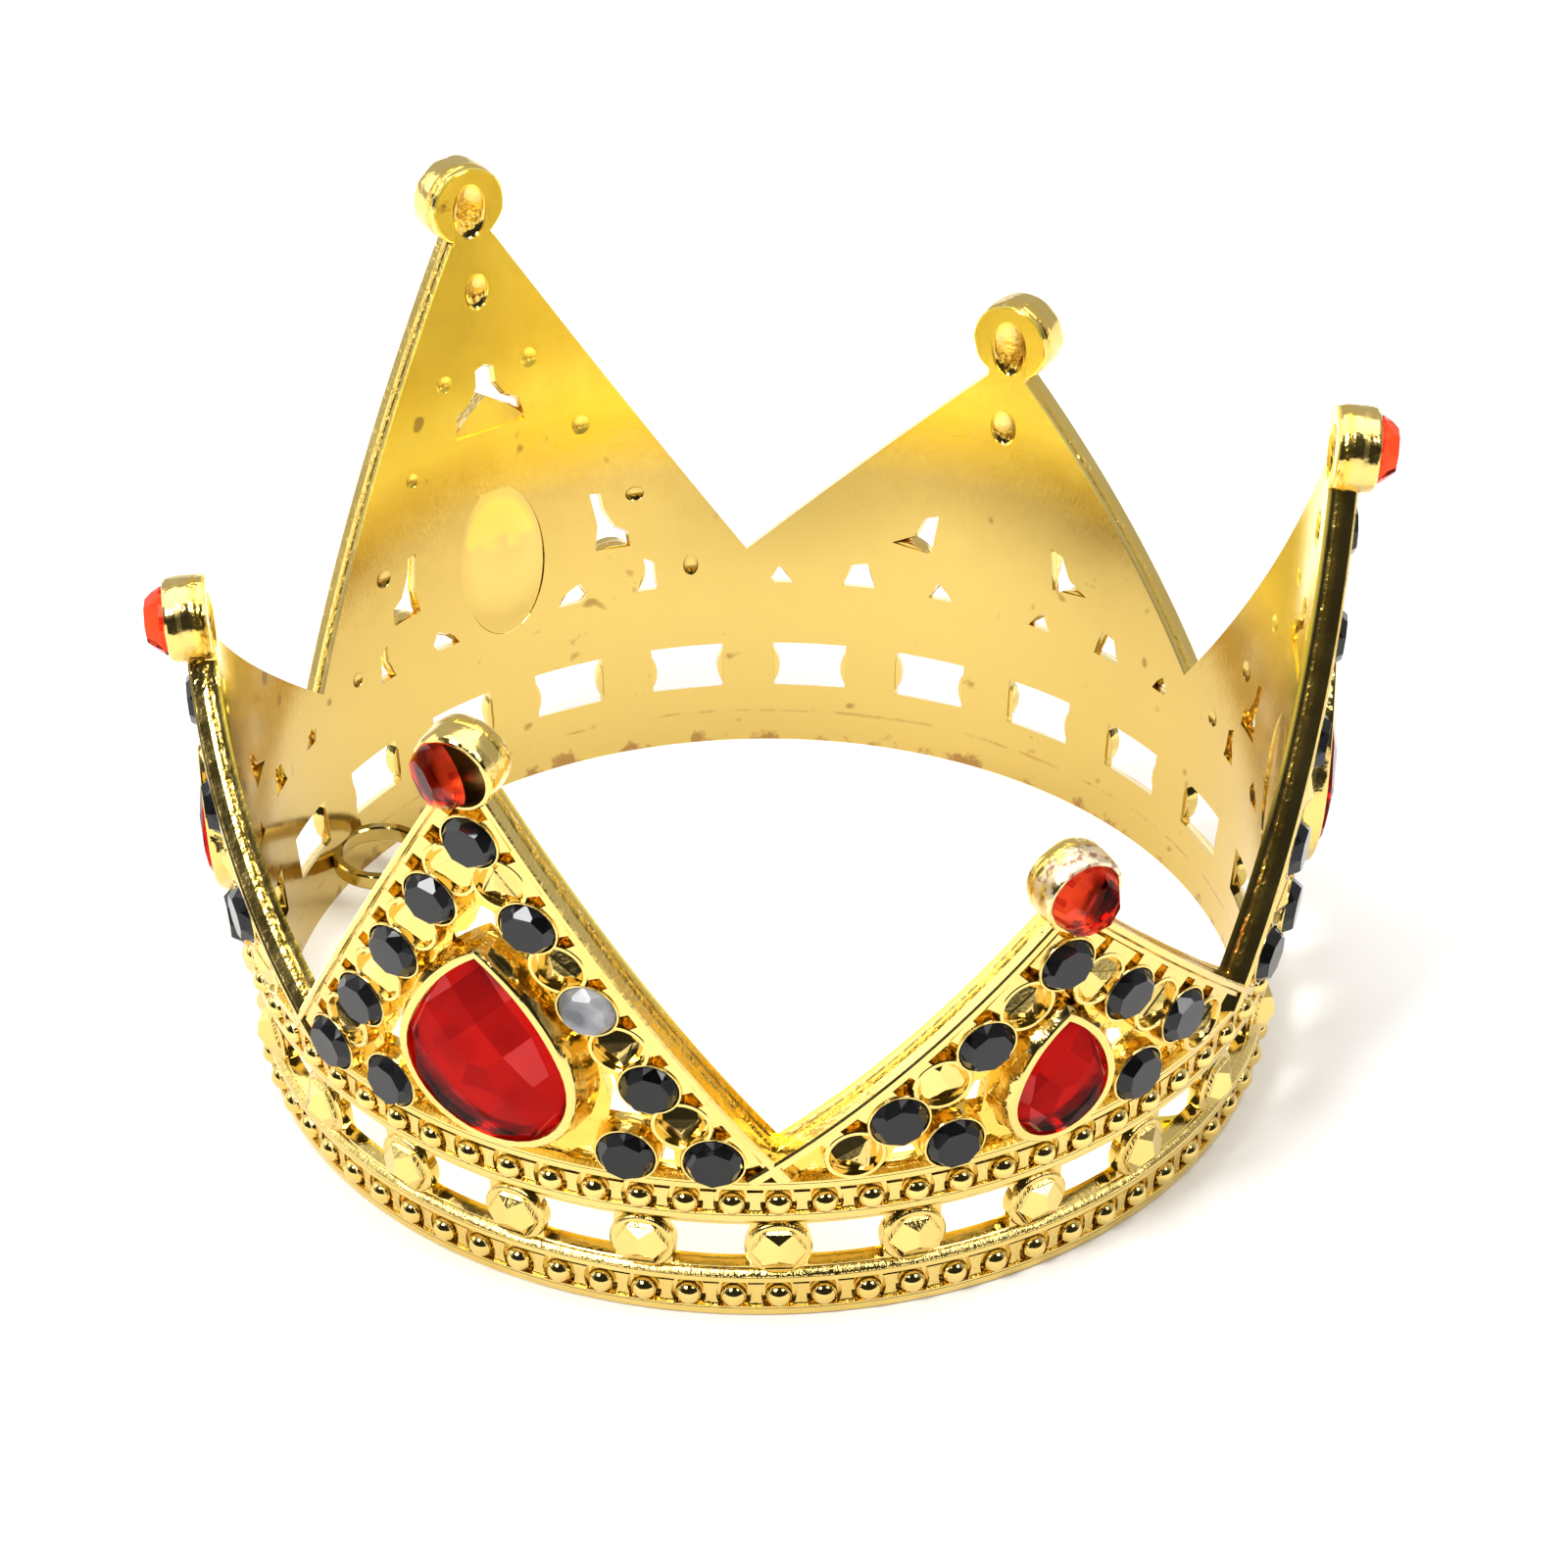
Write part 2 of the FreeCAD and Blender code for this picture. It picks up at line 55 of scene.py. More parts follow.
POINTS = {
    "right_tall": ("tall", 0), "back_right_short": ("short", 60), "back_left_tall": ("tall", 120),
    "left_short": ("short", 180), "front_left_tall": ("tall", 240), "front_right_short": ("short", 300),
}
NECKS = {"tall": (53.5, 2.8, 57.9), "short": (39.2, 2.35, 43.2)}
PEARS = {
    "tall": {"radius": 7.6, "tip": 12.4, "side": 21.0, "height": 25.4, "grid": 3.6, "dome": 0.02},
    "short": {"radius": 4.5, "tip": 7.9, "side": 11.0, "height": 21.4, "grid": 2.9, "dome": 0.032},
}
RAIL_SLOPES = {kind: math.atan2(VALLEY_HALF - half, height - VALLEY_HEIGHT)
               for kind, (height, half, _) in NECKS.items()}
CUP_RADIUS = 2.85
CUP_RELIEF = 2.35
STONE_SEAT = 1.5
FINIAL_RADIUS = 3.75
FINIAL_DEPTH = 3.8
FINIAL_SEAT = 1.9
BEZEL_SEAT = 1.7
BEZEL_RELIEF = 3.3
TILES = 24
BEADS = 72
LOWER_BEAD = 2.3
UPPER_BEAD = 12.96
BEAD_RADIUS = 1.17
BOSS_HEIGHT = 7.5
SPIN = 360 / TILES
DRAFT = 0.55
OVAL_HEIGHT, OVAL_HALF_WIDTH, OVAL_HALF_HEIGHT = 22.6, 4.2, 7.3
CREST = 15.72


# ---------------------------------------------------------------- places on the wall

def wall_radius(height):
    return BASE_RADIUS + FLARE * height


def on_wall(angle, height, offset=0.0):
    """Point that far out from the inner wall."""
    radius = wall_radius(height) + offset * math.cos(LEAN)
    turn = math.radians(angle)
    return Vector((radius * math.cos(turn), radius * math.sin(turn), height - offset * math.sin(LEAN)))


def seat(angle, height, offset=0.0):
    """Frame on the wall: local X along it, Y up it and Z out of it."""
    upward = Vector((math.sin(LEAN), 0, math.cos(LEAN)))
    outward = Vector((math.cos(LEAN), 0, -math.sin(LEAN)))
    local = Matrix((Vector((0, 1, 0)), upward, outward)).transposed().to_4x4()
    return Matrix.Translation(on_wall(angle, height, offset)) @ Matrix.Rotation(math.radians(angle), 4, "Z") @ local


def seat_of(point):
    """Angle and height on the wall of the place behind a point in millimetres."""
    run = math.cos(LEAN) + FLARE * math.sin(LEAN)
    offset = (math.hypot(point.x, point.y) - wall_radius(point.z)) / run
    return math.degrees(math.atan2(point.y, point.x)), point.z + offset * math.sin(LEAN)


def solids(node):
    """Angle and height of every separate solid in a CAD node."""
    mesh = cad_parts[node].data
    work = bmesh.new()
    work.from_mesh(mesh)
    bmesh.ops.remove_doubles(work, verts=work.verts, dist=1e-6)
    left = set(work.verts)
    places = []
    while left:
        group = [left.pop()]
        for vert in group:
            for edge in vert.link_edges:
                other = edge.other_vert(vert)
                if other in left:
                    left.remove(other)
                    group.append(other)
        low = Vector([min(v.co[i] for v in group) for i in range(3)])
        high = Vector([max(v.co[i] for v in group) for i in range(3)])
        places.append(seat_of((low + high) * 500))
    work.free()
    return places


def angle_to(half_width, height, offset=PLATE):
    return math.degrees(math.asin(half_width / (wall_radius(height) + offset)))


# ---------------------------------------------------------------- meshes

def loft(loops, cyclic=False):
    """Closed mesh through loops of equal length, capped at both ends unless it closes on itself."""
    work = bmesh.new()
    rings = [[work.verts.new(point) for point in loop] for loop in loops]
    count = len(rings[0])
    pairs = list(zip(rings, rings[1:]))
    if cyclic:
        pairs.append((rings[-1], rings[0]))
    for first, second in pairs:
        for index in range(count):
            after = (index + 1) % count
            work.faces.new((first[index], first[after], second[after], second[index]))
    if not cyclic:
        work.faces.new(rings[0])
        work.faces.new(rings[-1])
    bmesh.ops.recalc_face_normals(work, faces=work.faces)
    return work


def circle(radius, height, steps, matrix):
    return [matrix @ Vector((radius * math.cos(2 * math.pi * k / steps),
                             radius * math.sin(2 * math.pi * k / steps), height)) for k in range(steps)]


def lathe(profile, matrix, steps=48):
    """Solid turned about the local Z axis from pairs of radius and height."""
    return loft([circle(radius, height, steps, matrix) for radius, height in profile])


def ball(radius, matrix, steps=24):
    turns = [math.pi * (k + 0.5) / (steps // 2) for k in range(steps // 2)]
    return lathe([(radius * math.sin(a), -radius * math.cos(a)) for a in turns], matrix, steps)


def prism(outline, low, high, matrix):
    """Outline in the local XY plane carried between two heights."""
    return loft([[matrix @ Vector((x, y, z)) for x, y in outline] for z in (low, high)])


def to_object(work, name, material=None, smooth_angle=20):
    """Object in metres from a mesh in millimetres."""
    mesh = bpy.data.meshes.new(name)
    bmesh.ops.transform(work, matrix=Matrix.Scale(0.001, 4), verts=work.verts)
    work.to_mesh(mesh)
    work.free()
    thing = bpy.data.objects.new(name, mesh)
    bpy.context.scene.collection.objects.link(thing)
    if material:
        mesh.materials.append(material)
    if smooth_angle:
        mesh.shade_smooth()
        mesh.set_sharp_from_angle(angle=math.radians(smooth_angle))
    return thing


def joined(meshes):
    """One bmesh holding copies of several."""
    total = bmesh.new()
    for work in meshes:
        mesh = bpy.data.meshes.new("part")
        work.to_mesh(mesh)
        work.free()
        total.from_mesh(mesh)
        bpy.data.meshes.remove(mesh)
    return total


def combine(base, others, operation):
    """Boolean of one bmesh with a list of closed ones, all in millimetres."""
    group = bpy.data.collections.new("operands")
    bpy.context.scene.collection.children.link(group)
    helpers = []
    for index, work in enumerate([base] + others):
        mesh = bpy.data.meshes.new("operand")
        work.to_mesh(mesh)
        work.free()
        helper = bpy.data.objects.new("operand_%d" % index, mesh)
        helpers.append(helper)
        if index:
            group.objects.link(helper)
        else:
            bpy.context.scene.collection.objects.link(helper)
    modifier = helpers[0].modifiers.new("combine", "BOOLEAN")
    modifier.operation = operation
    modifier.solver = "MANIFOLD"
    modifier.operand_type = "COLLECTION"
    modifier.collection = group
    graph = bpy.context.evaluated_depsgraph_get()
    result = bmesh.new()
    result.from_object(helpers[0], graph)
    for helper in helpers:
        mesh = helper.data
        bpy.data.objects.remove(helper)
        bpy.data.meshes.remove(mesh)
    bpy.data.collections.remove(group)
    return result


# ---------------------------------------------------------------- outlines

def pear(shape, grow=0.0, steps=12):
    """Pear outline, tip up: a round foot and two flatter sides."""
    foot = shape["radius"] + grow
    tip = shape["tip"] + grow
    side = shape["side"] + grow
    reach = side - foot
    join = math.asin((foot + (foot ** 2 - tip ** 2) / (2 * reach)) / tip)
    centre = Vector((-reach * math.cos(join), -reach * math.sin(join)))
    top = math.atan2(tip - centre.y, -centre.x)
    right = [(centre.x + side * math.cos(a), centre.y + side * math.sin(a))
             for a in (join + (top - join) * k / steps for k in range(steps))]
    left = [(-x, y) for x, y in reversed(right)]
    sweep = math.pi + 2 * join
    foot_points = [(foot * math.cos(a), foot * math.sin(a))
                   for a in (math.pi - join + sweep * k / (2 * steps) for k in range(1, 2 * steps))]
    return right + [(0.0, tip)] + left + foot_points


def edge_half_width(kind, height):
    """Half width of a point at a height, measured square to its middle plane."""
    neck_height, neck_half, _ = NECKS[kind]
    return neck_half + (neck_height - height) * (VALLEY_HALF - neck_half) / (neck_height - VALLEY_HEIGHT)


def pulled(turn, half_width, height, offset):
    """Place on a sleeve round the wall, found straight out from a point's middle plane."""
    radius = wall_radius(height) + offset
    out = math.sqrt(radius ** 2 - half_width ** 2)
    return Matrix.Rotation(math.radians(turn), 3, "Z") @ Vector((out, half_width, height))


# ---------------------------------------------------------------- moulding

BAND_PROFILE = (
    (0.0, 0.0), (1.55, 0.0), (1.75, 0.06), (1.83, 0.2), (1.83, 0.8), (1.72, 0.95), (1.3, 1.05), (1.0, 1.15),
    (1.0, 3.5), (1.35, 3.62), (1.7, 3.72), (1.83, 3.85), (1.83, 4.35), (1.72, 4.5), (1.05, 5.0),
    (1.0, 5.15), (1.0, 10.0), (1.05, 10.2), (1.72, 10.95), (1.83, 11.1), (1.83, 11.65), (1.72, 11.8),
    (1.3, 11.9), (1.0, 12.0), (1.0, 14.3), (1.35, 14.42), (1.72, 14.52), (1.83, 14.66), (1.83, 15.2),
    (1.72, 15.38), (1.1, 15.75), (0.0, 15.75),
)


def band():
    loops = []
    for step in range(360):
        turn = math.radians(step)
        loops.append([Vector(((wall_radius(z) + off) * math.cos(turn),
                              (wall_radius(z) + off) * math.sin(turn), z)) for off, z in BAND_PROFILE])
    return loft(loops, cyclic=True)


def beads():
    pieces = []
    for height in (LOWER_BEAD, UPPER_BEAD):
        for step in range(BEADS):
            angle = 360 / BEADS * step
            pieces.append(ball(BEAD_RADIUS, seat(angle, height, 1.22)))
            pieces.append(tab(angle + 180 / BEADS, height))
    return pieces


def tab(angle, height):
    """Flat bridge between two beads, waisted by their round sides."""
    outline = []
    for side in (-1, 1):
        for k in range(7):
            up = 1.25 * (1 - k / 3) * side
            waist = 0.42 + 0.28 * (up / 1.25) ** 2
            outline.append((-side * waist, -up) if side > 0 else (-side * waist, -up))
    return prism(outline, 0.5, 1.5, seat(angle, height))


def domes():
    """Round bosses, each with a faceted dome."""
    pieces = []
    for place in range(TILES):
        matrix = seat(SPIN * place, BOSS_HEIGHT)
        pieces.append(lathe(((2.85, 0.12), (2.95, 0.8), (2.87, 1.2), (2.7, 1.38), (2.45, 1.42)), matrix, 40))
        facets = rose(2.4, 1.7, matrix @ Matrix.Translation((0, 0, 1.2)))
        pieces.append(facets)
    return pieces


def rose(radius, rise, matrix, depth=0.6, slopes=(36, 60)):
    """Rose-cut dome: three rhombic facets meeting at its top over a ring of six."""
    lower, upper = slopes
    planes = [((0, 0, -1), depth)]
    planes += ring_planes(6, 0.5, 0, radius)
    planes += ring_planes(12, 0, 0, radius * 0.97)
    planes += ring_planes(6, 0.5, lower, edge_reach(radius * 0.93, 0.1 * rise, lower))
    planes += ring_planes(3, 0.25, upper, rise * math.sin(math.radians(upper)))
    work = cut_stone(planes, 4 * radius)
    bmesh.ops.transform(work, matrix=matrix, verts=work.verts)
    return work


def plate(kind, turn):
    """Curved plate of one point, from the band to the finial."""
    _, _, head = NECKS[kind]
    rows = 70
    loops = []
    for row in range(rows + 1):
        height = BAND_TOP - 0.4 + (head - BAND_TOP + 0.4) * row / rows
        half = max(edge_half_width(kind, height) - 0.25, 1.8)
        loop = []
        for offset, order in ((PLATE, range(41)), (0.0, range(40, -1, -1))):
            reach = min(half, (wall_radius(height) + offset) * math.sin(math.radians(30.2)))
            for k in order:
                spot = pulled(turn, reach * (k / 20 - 1), height, offset)
                sink = 0.16 * noise.noise(spot * 0.75) if offset else 0.0
                loop.append(pulled(turn, reach * (k / 20 - 1), height, offset + sink))
        loops.append(loop)
    return loft(loops)


RAIL_PROFILE = (
    (0.0, 0.0), (0.0, 2.42), (0.14, 2.6), (0.52, 2.62), (0.64, 2.5), (0.7, 2.3), (0.8, 2.22),
    (1.16, 2.26), (1.27, 2.14), (1.32, 1.0), (1.3, 0.0),
)


def rail(kind, turn, side):
    """Raised edge of a point, from the valley up to the finial."""
    neck_height, neck_half, head = NECKS[kind]
    slope = (neck_height - VALLEY_HEIGHT) / (VALLEY_HALF - neck_half)
    run = math.hypot(1, slope)
    loops = []
    steps = 60
    low = VALLEY_HEIGHT - 3.4
    for step in range(steps + 1):
        height = low + (neck_height + 1.2 - low) * step / steps
        loop = []
        for inward, offset in RAIL_PROFILE:
            drop = inward / run
            across = inward * slope / run
            half = edge_half_width(kind, height) - across
            loop.append(pulled(turn, side * half, height - drop, offset))
        loops.append(loop)
    return loft(loops)


def cup(matrix):
    """Round setting with a thin rim; its seat is cut later."""
    return lathe(((CUP_RADIUS + 0.1, 0.15), (CUP_RADIUS, 1.6), (CUP_RADIUS - 0.04, CUP_RELIEF - 0.1),
                  (CUP_RADIUS - 0.1, CUP_RELIEF)), matrix)


def collet(matrix):
    """Setting of a moulded imitation stone."""
    return lathe(((2.8, 0.15), (2.74, 1.9), (2.7, 2.18), (2.6, 2.28)), matrix)


def arm(place, outward, length, width, relief):
    """Flat bridge from a setting to the rail beside it."""
    matrix = seat(*place)
    across = Vector((-outward.y, outward.x, 0)) * width / 2
    reach = outward * length
    corners = [across, -across, reach - across * 1.2, reach + across * 1.2]
    return prism([(c.x, c.y) for c in corners], 0.15, relief, matrix)


def web(first, second, width, relief):
    """Flat bridge between two neighbouring settings."""
    start = seat(*first).translation
    end = seat(*second).translation
    angle = (first[0] + second[0]) / 2
    height = (first[1] + second[1]) / 2
    matrix = seat(angle, height)
    local = matrix.inverted()
    a = local @ start
    b = local @ end
    along = (b - a).normalized()
    across = Vector((-along.y, along.x, 0)) * width
    corners = [a + across, a - across, b - across, b + across]
    return prism([(c.x, c.y) for c in corners], 0.15, relief, matrix)


def bezel(kind, matrix, seed):
    """Wall round a pear stone, rough outside and thin at its rim."""
    shape = PEARS[kind]
    levels = ((1.5, 0.15), (1.35, 0.8), (1.2, 1.4), (1.05, 2.0), (0.95, 2.6), (0.86, 3.05),
              (0.76, BEZEL_RELIEF - 0.07), (0.66, BEZEL_RELIEF))
    loops = []
    for grow, height in levels:
        loop = []
        for x, y in pear(shape, grow):
            rough = noise.noise(Vector((x * 0.55, y * 0.55, height * 0.5 + seed))) * 0.45
            push = rough if 0.5 < height < 2.9 else 0.12 * rough
            loop.append(matrix @ Vector((x * (1 + push / shape["radius"]), y * (1 + push / shape["radius"]), height)))
        loops.append(loop)
    return loft(loops)


def finial(matrix):
    """Round cup at the tip, with the wrinkles of its moulding."""
    profile = ((3.4, 0.04), (3.55, 0.12), (3.66, 0.4), (3.72, 1.0), (3.76, 1.7), (3.76, 2.4), (3.74, 3.1),
               (3.68, 3.5), (3.55, 3.72), (3.38, FINIAL_DEPTH))
    loops = []
    for radius, height in profile:
        loop = []
        for spot in circle(radius, height, 96, Matrix()):
            wrinkle = 1 + 0.03 * noise.noise(Vector((spot.x * 0.8, spot.y * 0.8, height * 1.6)) + matrix.translation)
            loop.append(matrix @ Vector((spot.x * wrinkle, spot.y * wrinkle, height)))
        loops.append(loop)
    return loft(loops)


def eye(angle):
    """Flat ring inside the bottom edge."""
    centre = Matrix.Rotation(math.radians(angle), 4, "Z") @ Vector((39.1, 0, 2.9))
    section = ((3.45, 0.15), (3.6, 0.0), (4.2, 0.0), (4.35, 0.15), (4.35, 1.35), (4.2, 1.5), (3.6, 1.5), (3.45, 1.35))
    loops = []
    for step in range(64):
        turn = 2 * math.pi * step / 64
        loops.append([centre + Vector((r * math.cos(turn), r * math.sin(turn), z)) for r, z in section])
    return loft(loops, cyclic=True)


def lens(matrix, half_width, half_height, depth, lean=0.0):
    """Flattened ball, for hollows pressed into a wall."""
    return ball(1.0, matrix @ Matrix.Diagonal((half_width, half_height, depth, 1)), 32)


def chain(point):
    """Stones and studs down both edges of one point, as angle and height."""
    sides = []
    top = solids(point + "_top_stone")
    for group in ("_left_edge_stones", "_right_edge_stones"):
        stones = top + sorted(solids(point + group), key=lambda place: -place[1])
        studs = []
        for (a0, h0), (a1, h1) in zip(stones, stones[1:]):
            swing = (a1 - a0 + 180) % 360 - 180
            studs.append((a0 + swing / 2, (h0 + h1) / 2))
        if "short" in point:
            (a0, h0), (a1, h1) = stones[-2:]
            swing = (a1 - a0 + 180) % 360 - 180
            studs.append((a1 + swing / 2, h1 + (h1 - h0) / 2))
        sides.append((stones, studs))
    return sides


# Openings beside a point's middle plane, as half width and height of their corners.
CROWN_WINDOW = ((3.6, 35.9), (3.3, 38.1), (1.9, 39.0), (1.0, 40.4), (0.95, 42.0), (0.0, 42.4))
WINDOWS = {
    "tall": (
        ((9.2, 21.0), (12.4, 20.9), (12.3, 22.5), (11.2, 23.2), (10.3, 25.1), (10.1, 26.7), (9.1, 26.8), (9.6, 23.5)),
        ((12.7, 15.75), (14.6, 15.75), (14.4, 17.3), (14.4, 18.9), (13.5, 19.5), (13.4, 17.8)),
        ((5.2, 15.75), (7.4, 15.75), (8.1, 17.0), (7.5, 18.1), (6.2, 17.4)),
    ),
    "short": (
        ((6.2, 20.5), (9.9, 21.1), (7.9, 22.1), (7.0, 24.1), (5.7, 24.5)),
        ((11.2, 15.75), (14.1, 15.75), (13.4, 18.3), (12.0, 18.6)),
        ((3.9, 15.75), (6.2, 15.75), (5.4, 17.8)),
        ((18.3, 15.75), (20.5, 15.75), (19.6, 17.8)),
    ),
}


def opening(turn, outline):
    """Hole through the wall that falls outward, but never into the band."""
    loops = []
    for offset in (-1.5, 1.5):
        drop = DRAFT * offset
        loops.append([on_wall(turn + angle_to(half, height, 0), max(height - drop, CREST), offset)
                      for half, height in outline])
    return loft(loops)


def windows(kind, turn):
    """Openings of one point, the lower ones on both sides of its middle."""
    pieces = []
    if kind == "tall":
        mirrored = [(-half, height) for half, height in CROWN_WINDOW[-2::-1]]
        pieces.append(opening(turn, list(CROWN_WINDOW) + mirrored))
    for outline in WINDOWS[kind]:
        for side in (-1, 1):
            pieces.append(opening(turn, [(side * half, height) for half, height in outline]))
    return pieces


def oval_pocket(matrix, half_width, half_height):
    """Shallow sink pressed into the inner wall behind a pear stone."""
    stretch = matrix @ Matrix.Diagonal((half_width, half_height, 1, 1))
    sink = ((1.06, -0.6), (1.02, 0.0), (0.96, 0.03), (0.88, 0.08), (0.78, 0.13), (0.64, 0.18), (0.46, 0.21),
            (0.25, 0.23))
    return lathe(sink, stretch @ Matrix.Rotation(-0.03, 4, "X"), 64)


def shell_meshes():
    """Every raised piece of the moulding, every recess cut into it and every inlay set in a recess."""
    raised = []
    hollows = []
    cups = []
    cuts = []
    pierced = []
    inlays = []
    draw = random.Random(4)
    for point, (kind, turn) in POINTS.items():
        pierced += windows(kind, turn)
        raised += [rail(kind, turn, side) for side in (-1, 1)]
        _, _, head = NECKS[kind]
        pear_seat = seat(turn, PEARS[kind]["height"])
        raised.append(bezel(kind, pear_seat, turn))
        raised.append(finial(seat(turn, head)))
        cuts.append(lathe(((3.02, FINIAL_SEAT), (3.1, 3.5), (3.3, 3.9)), seat(turn, head), 64))
        tip = Matrix.Rotation(-0.16, 4, "X")
        cuts.append(lens(seat(turn, head - 0.3, -0.1) @ tip, 1.75, 3.1, 0.9))
        cuts.append(lens(seat(turn, head - 8.2, -0.15) @ tip, 1.3, 2.0, 0.7))
        cuts.append(prism(pear(PEARS[kind], 0.05), BEZEL_SEAT, 4.0, pear_seat))
        if kind == "tall":
            cuts.append(oval_pocket(seat(turn, OVAL_HEIGHT), OVAL_HALF_WIDTH, OVAL_HALF_HEIGHT))
        for side, (stones, studs) in zip((-1, 1), chain(point)):
            places = sorted(stones + studs, key=lambda place: -place[1])
            for first, second in zip(places, places[1:]):
                raised.append(web(first, second, 1.2, 2.26))
            outward = Vector((side * math.cos(RAIL_SLOPES[kind]), math.sin(RAIL_SLOPES[kind]), 0))
            for place in places:
                raised.append(arm(place, outward, 3.5, draw.uniform(1.7, 3.4), 2.2))
            for place in stones:
                cups.append(cup(seat(*place)))
                cuts.append(lathe(((2.55, STONE_SEAT), (2.62, CUP_RELIEF + 0.2)), seat(*place)))
                if kind == "tall":
                    cuts.append(lens(seat(*place, -0.2), draw.uniform(0.7, 1.0), draw.uniform(0.8, 1.2), 0.42))
            for place in studs:
                matrix = seat(*place)
                raised.append(collet(matrix))
                hollows.append(lathe(((2.1, 1.7), (2.2, 2.1), (2.35, 2.4)), matrix))
                spin = Matrix.Rotation(draw.uniform(0, 2), 4, "Z")
                lump = matrix @ Matrix.Translation((0, 0, 1.75)) @ spin
                inlays.append(rose(2.28, 1.15, lump, 0.4, (40, 57)))
        for group in ("_left_base_stone", "_right_base_stone"):
            place = solids(point + group)[0]
            cups.append(cup(seat(*place)))
            cuts.append(lathe(((2.55, STONE_SEAT), (2.62, CUP_RELIEF + 0.2)), seat(*place)))
    return pierced, raised, hollows, cups, cuts, inlays


def slots():
    """Openings in the band between the bosses."""
    pieces = []
    for place in range(TILES):
        matrix = Matrix.Rotation(math.radians(SPIN * (place + 0.5)), 4, "Z")
        loops = []
        for x, sill in ((40.0, 7.3), (43.8, 5.05), (50.0, 5.05)):
            outline = ((-3.25, sill), (3.25, sill), (3.35, 9.95), (-3.35, 9.95))
            loops.append([matrix @ Vector((x, y, z)) for y, z in outline])
        pieces.append(loft(loops))
    return pieces


def crown_shell(material):
    pierced, raised, hollows, cups, cuts, inlays = shell_meshes()
    plates = [plate(kind, turn) for kind, turn in POINTS.values()]
    wall = combine(band(), plates, "UNION")
    wall = combine(wall, slots() + pierced, "DIFFERENCE")
    eyes = [eye(150), eye(330)]
    wall = combine(wall, raised + beads() + domes() + eyes, "UNION")
    wall = combine(wall, hollows, "DIFFERENCE")
    wall = combine(wall, cups, "UNION")
    wall = combine(wall, cuts, "DIFFERENCE")
    wall = combine(wall, inlays, "UNION")
    shell = to_object(wall, "crown_moulding", material)
    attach(shell, "root")
    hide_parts("crown_shell")
    return shell


# ---------------------------------------------------------------- stones

def cut_stone(planes, size):
    """Convex stone left when a block is cut with each facet's plane, given as normal and reach."""
    work = bmesh.new()
    bmesh.ops.create_cube(work, size=size)
    for normal, reach in planes:
        unit = Vector(normal).normalized()
        everything = work.verts[:] + work.edges[:] + work.faces[:]
        cut = bmesh.ops.bisect_plane(work, geom=everything, dist=1e-5, plane_co=unit * reach,
                                     plane_no=unit, clear_outer=True)
        edges = [e for e in cut["geom_cut"] if isinstance(e, bmesh.types.BMEdge)]
        if len(edges) > 2:
            bmesh.ops.edgeloop_fill(work, edges=edges)
    bmesh.ops.recalc_face_normals(work, faces=work.faces)
    return work


def ring_planes(count, spin, slope, reach):
    """Facets round the stone; slope is how far their normals rise, in degrees."""
    rise = math.sin(math.radians(slope))
    flat = math.cos(math.radians(slope))
    planes = []
    for k in range(count):
        turn = 2 * math.pi * (k + spin) / count
        planes.append(((flat * math.cos(turn), flat * math.sin(turn), rise), reach))
    return planes


def edge_reach(radius, height, slope):
    """Reach of a facet through a girdle of that radius and height."""
    return radius * math.cos(math.radians(slope)) + height * math.sin(math.radians(slope))


def round_planes(radius, girdle, rise, slope, count):
    """Round stone: a table, kites and a girdle row."""
    planes = [((0, 0, 1), rise), ((0, 0, -1), 0)]
    planes += ring_planes(32, 0, 0, radius)
    planes += ring_planes(count, 0, slope, edge_reach(radius * 0.985, girdle, slope))
    planes += ring_planes(2 * count, 0.5, slope - 9, edge_reach(radius * 0.985, girdle - 0.02, slope - 9))
    planes += ring_planes(count, 0.5, slope + 17, edge_reach(radius * 0.985, girdle, slope) * 1.0
                          + 0.21 * radius)
    return planes


def pear_planes(shape, gap, girdle, rise):
    """Pear stone: steep border facets under a low dome of squares."""
    outline = [Vector(p) for p in pear(shape, -gap, 9)]
    count = len(outline)
    planes = [((0, 0, -1), 0), ((0, 0, 1), rise)]
    for index in range(count):
        a, b = outline[index], outline[(index + 1) % count]
        side = Vector(((b - a).y, -(b - a).x)).normalized()
        planes.append(((side.x, side.y, 0), side.dot((a + b) / 2)))
    border = [Vector(p) for p in pear(shape, -gap, 3)]
    for index in range(len(border)):
        a, b = border[index], border[(index + 1) % len(border)]
        side = Vector(((b - a).y, -(b - a).x)).normalized()
        normal = Vector((side.x, side.y, 0.85)).normalized()
        planes.append((tuple(normal), normal.dot(Vector((a.x, a.y, girdle)))))
    pitch, bow = shape["grid"], shape["dome"]
    reach = int(2 * shape["side"] / pitch)
    for i in range(-reach, reach + 1):
        for j in range(-reach, reach + 1):
            x = (i - j) * pitch / math.sqrt(2)
            y = (i + j + 1) * pitch / math.sqrt(2) + 0.8
            height = rise - bow * (x * x + y * y)
            normal = Vector((2 * bow * x, 2 * bow * y, 1)).normalized()
            planes.append((tuple(normal), normal.dot(Vector((x, y, height)))))
    return planes


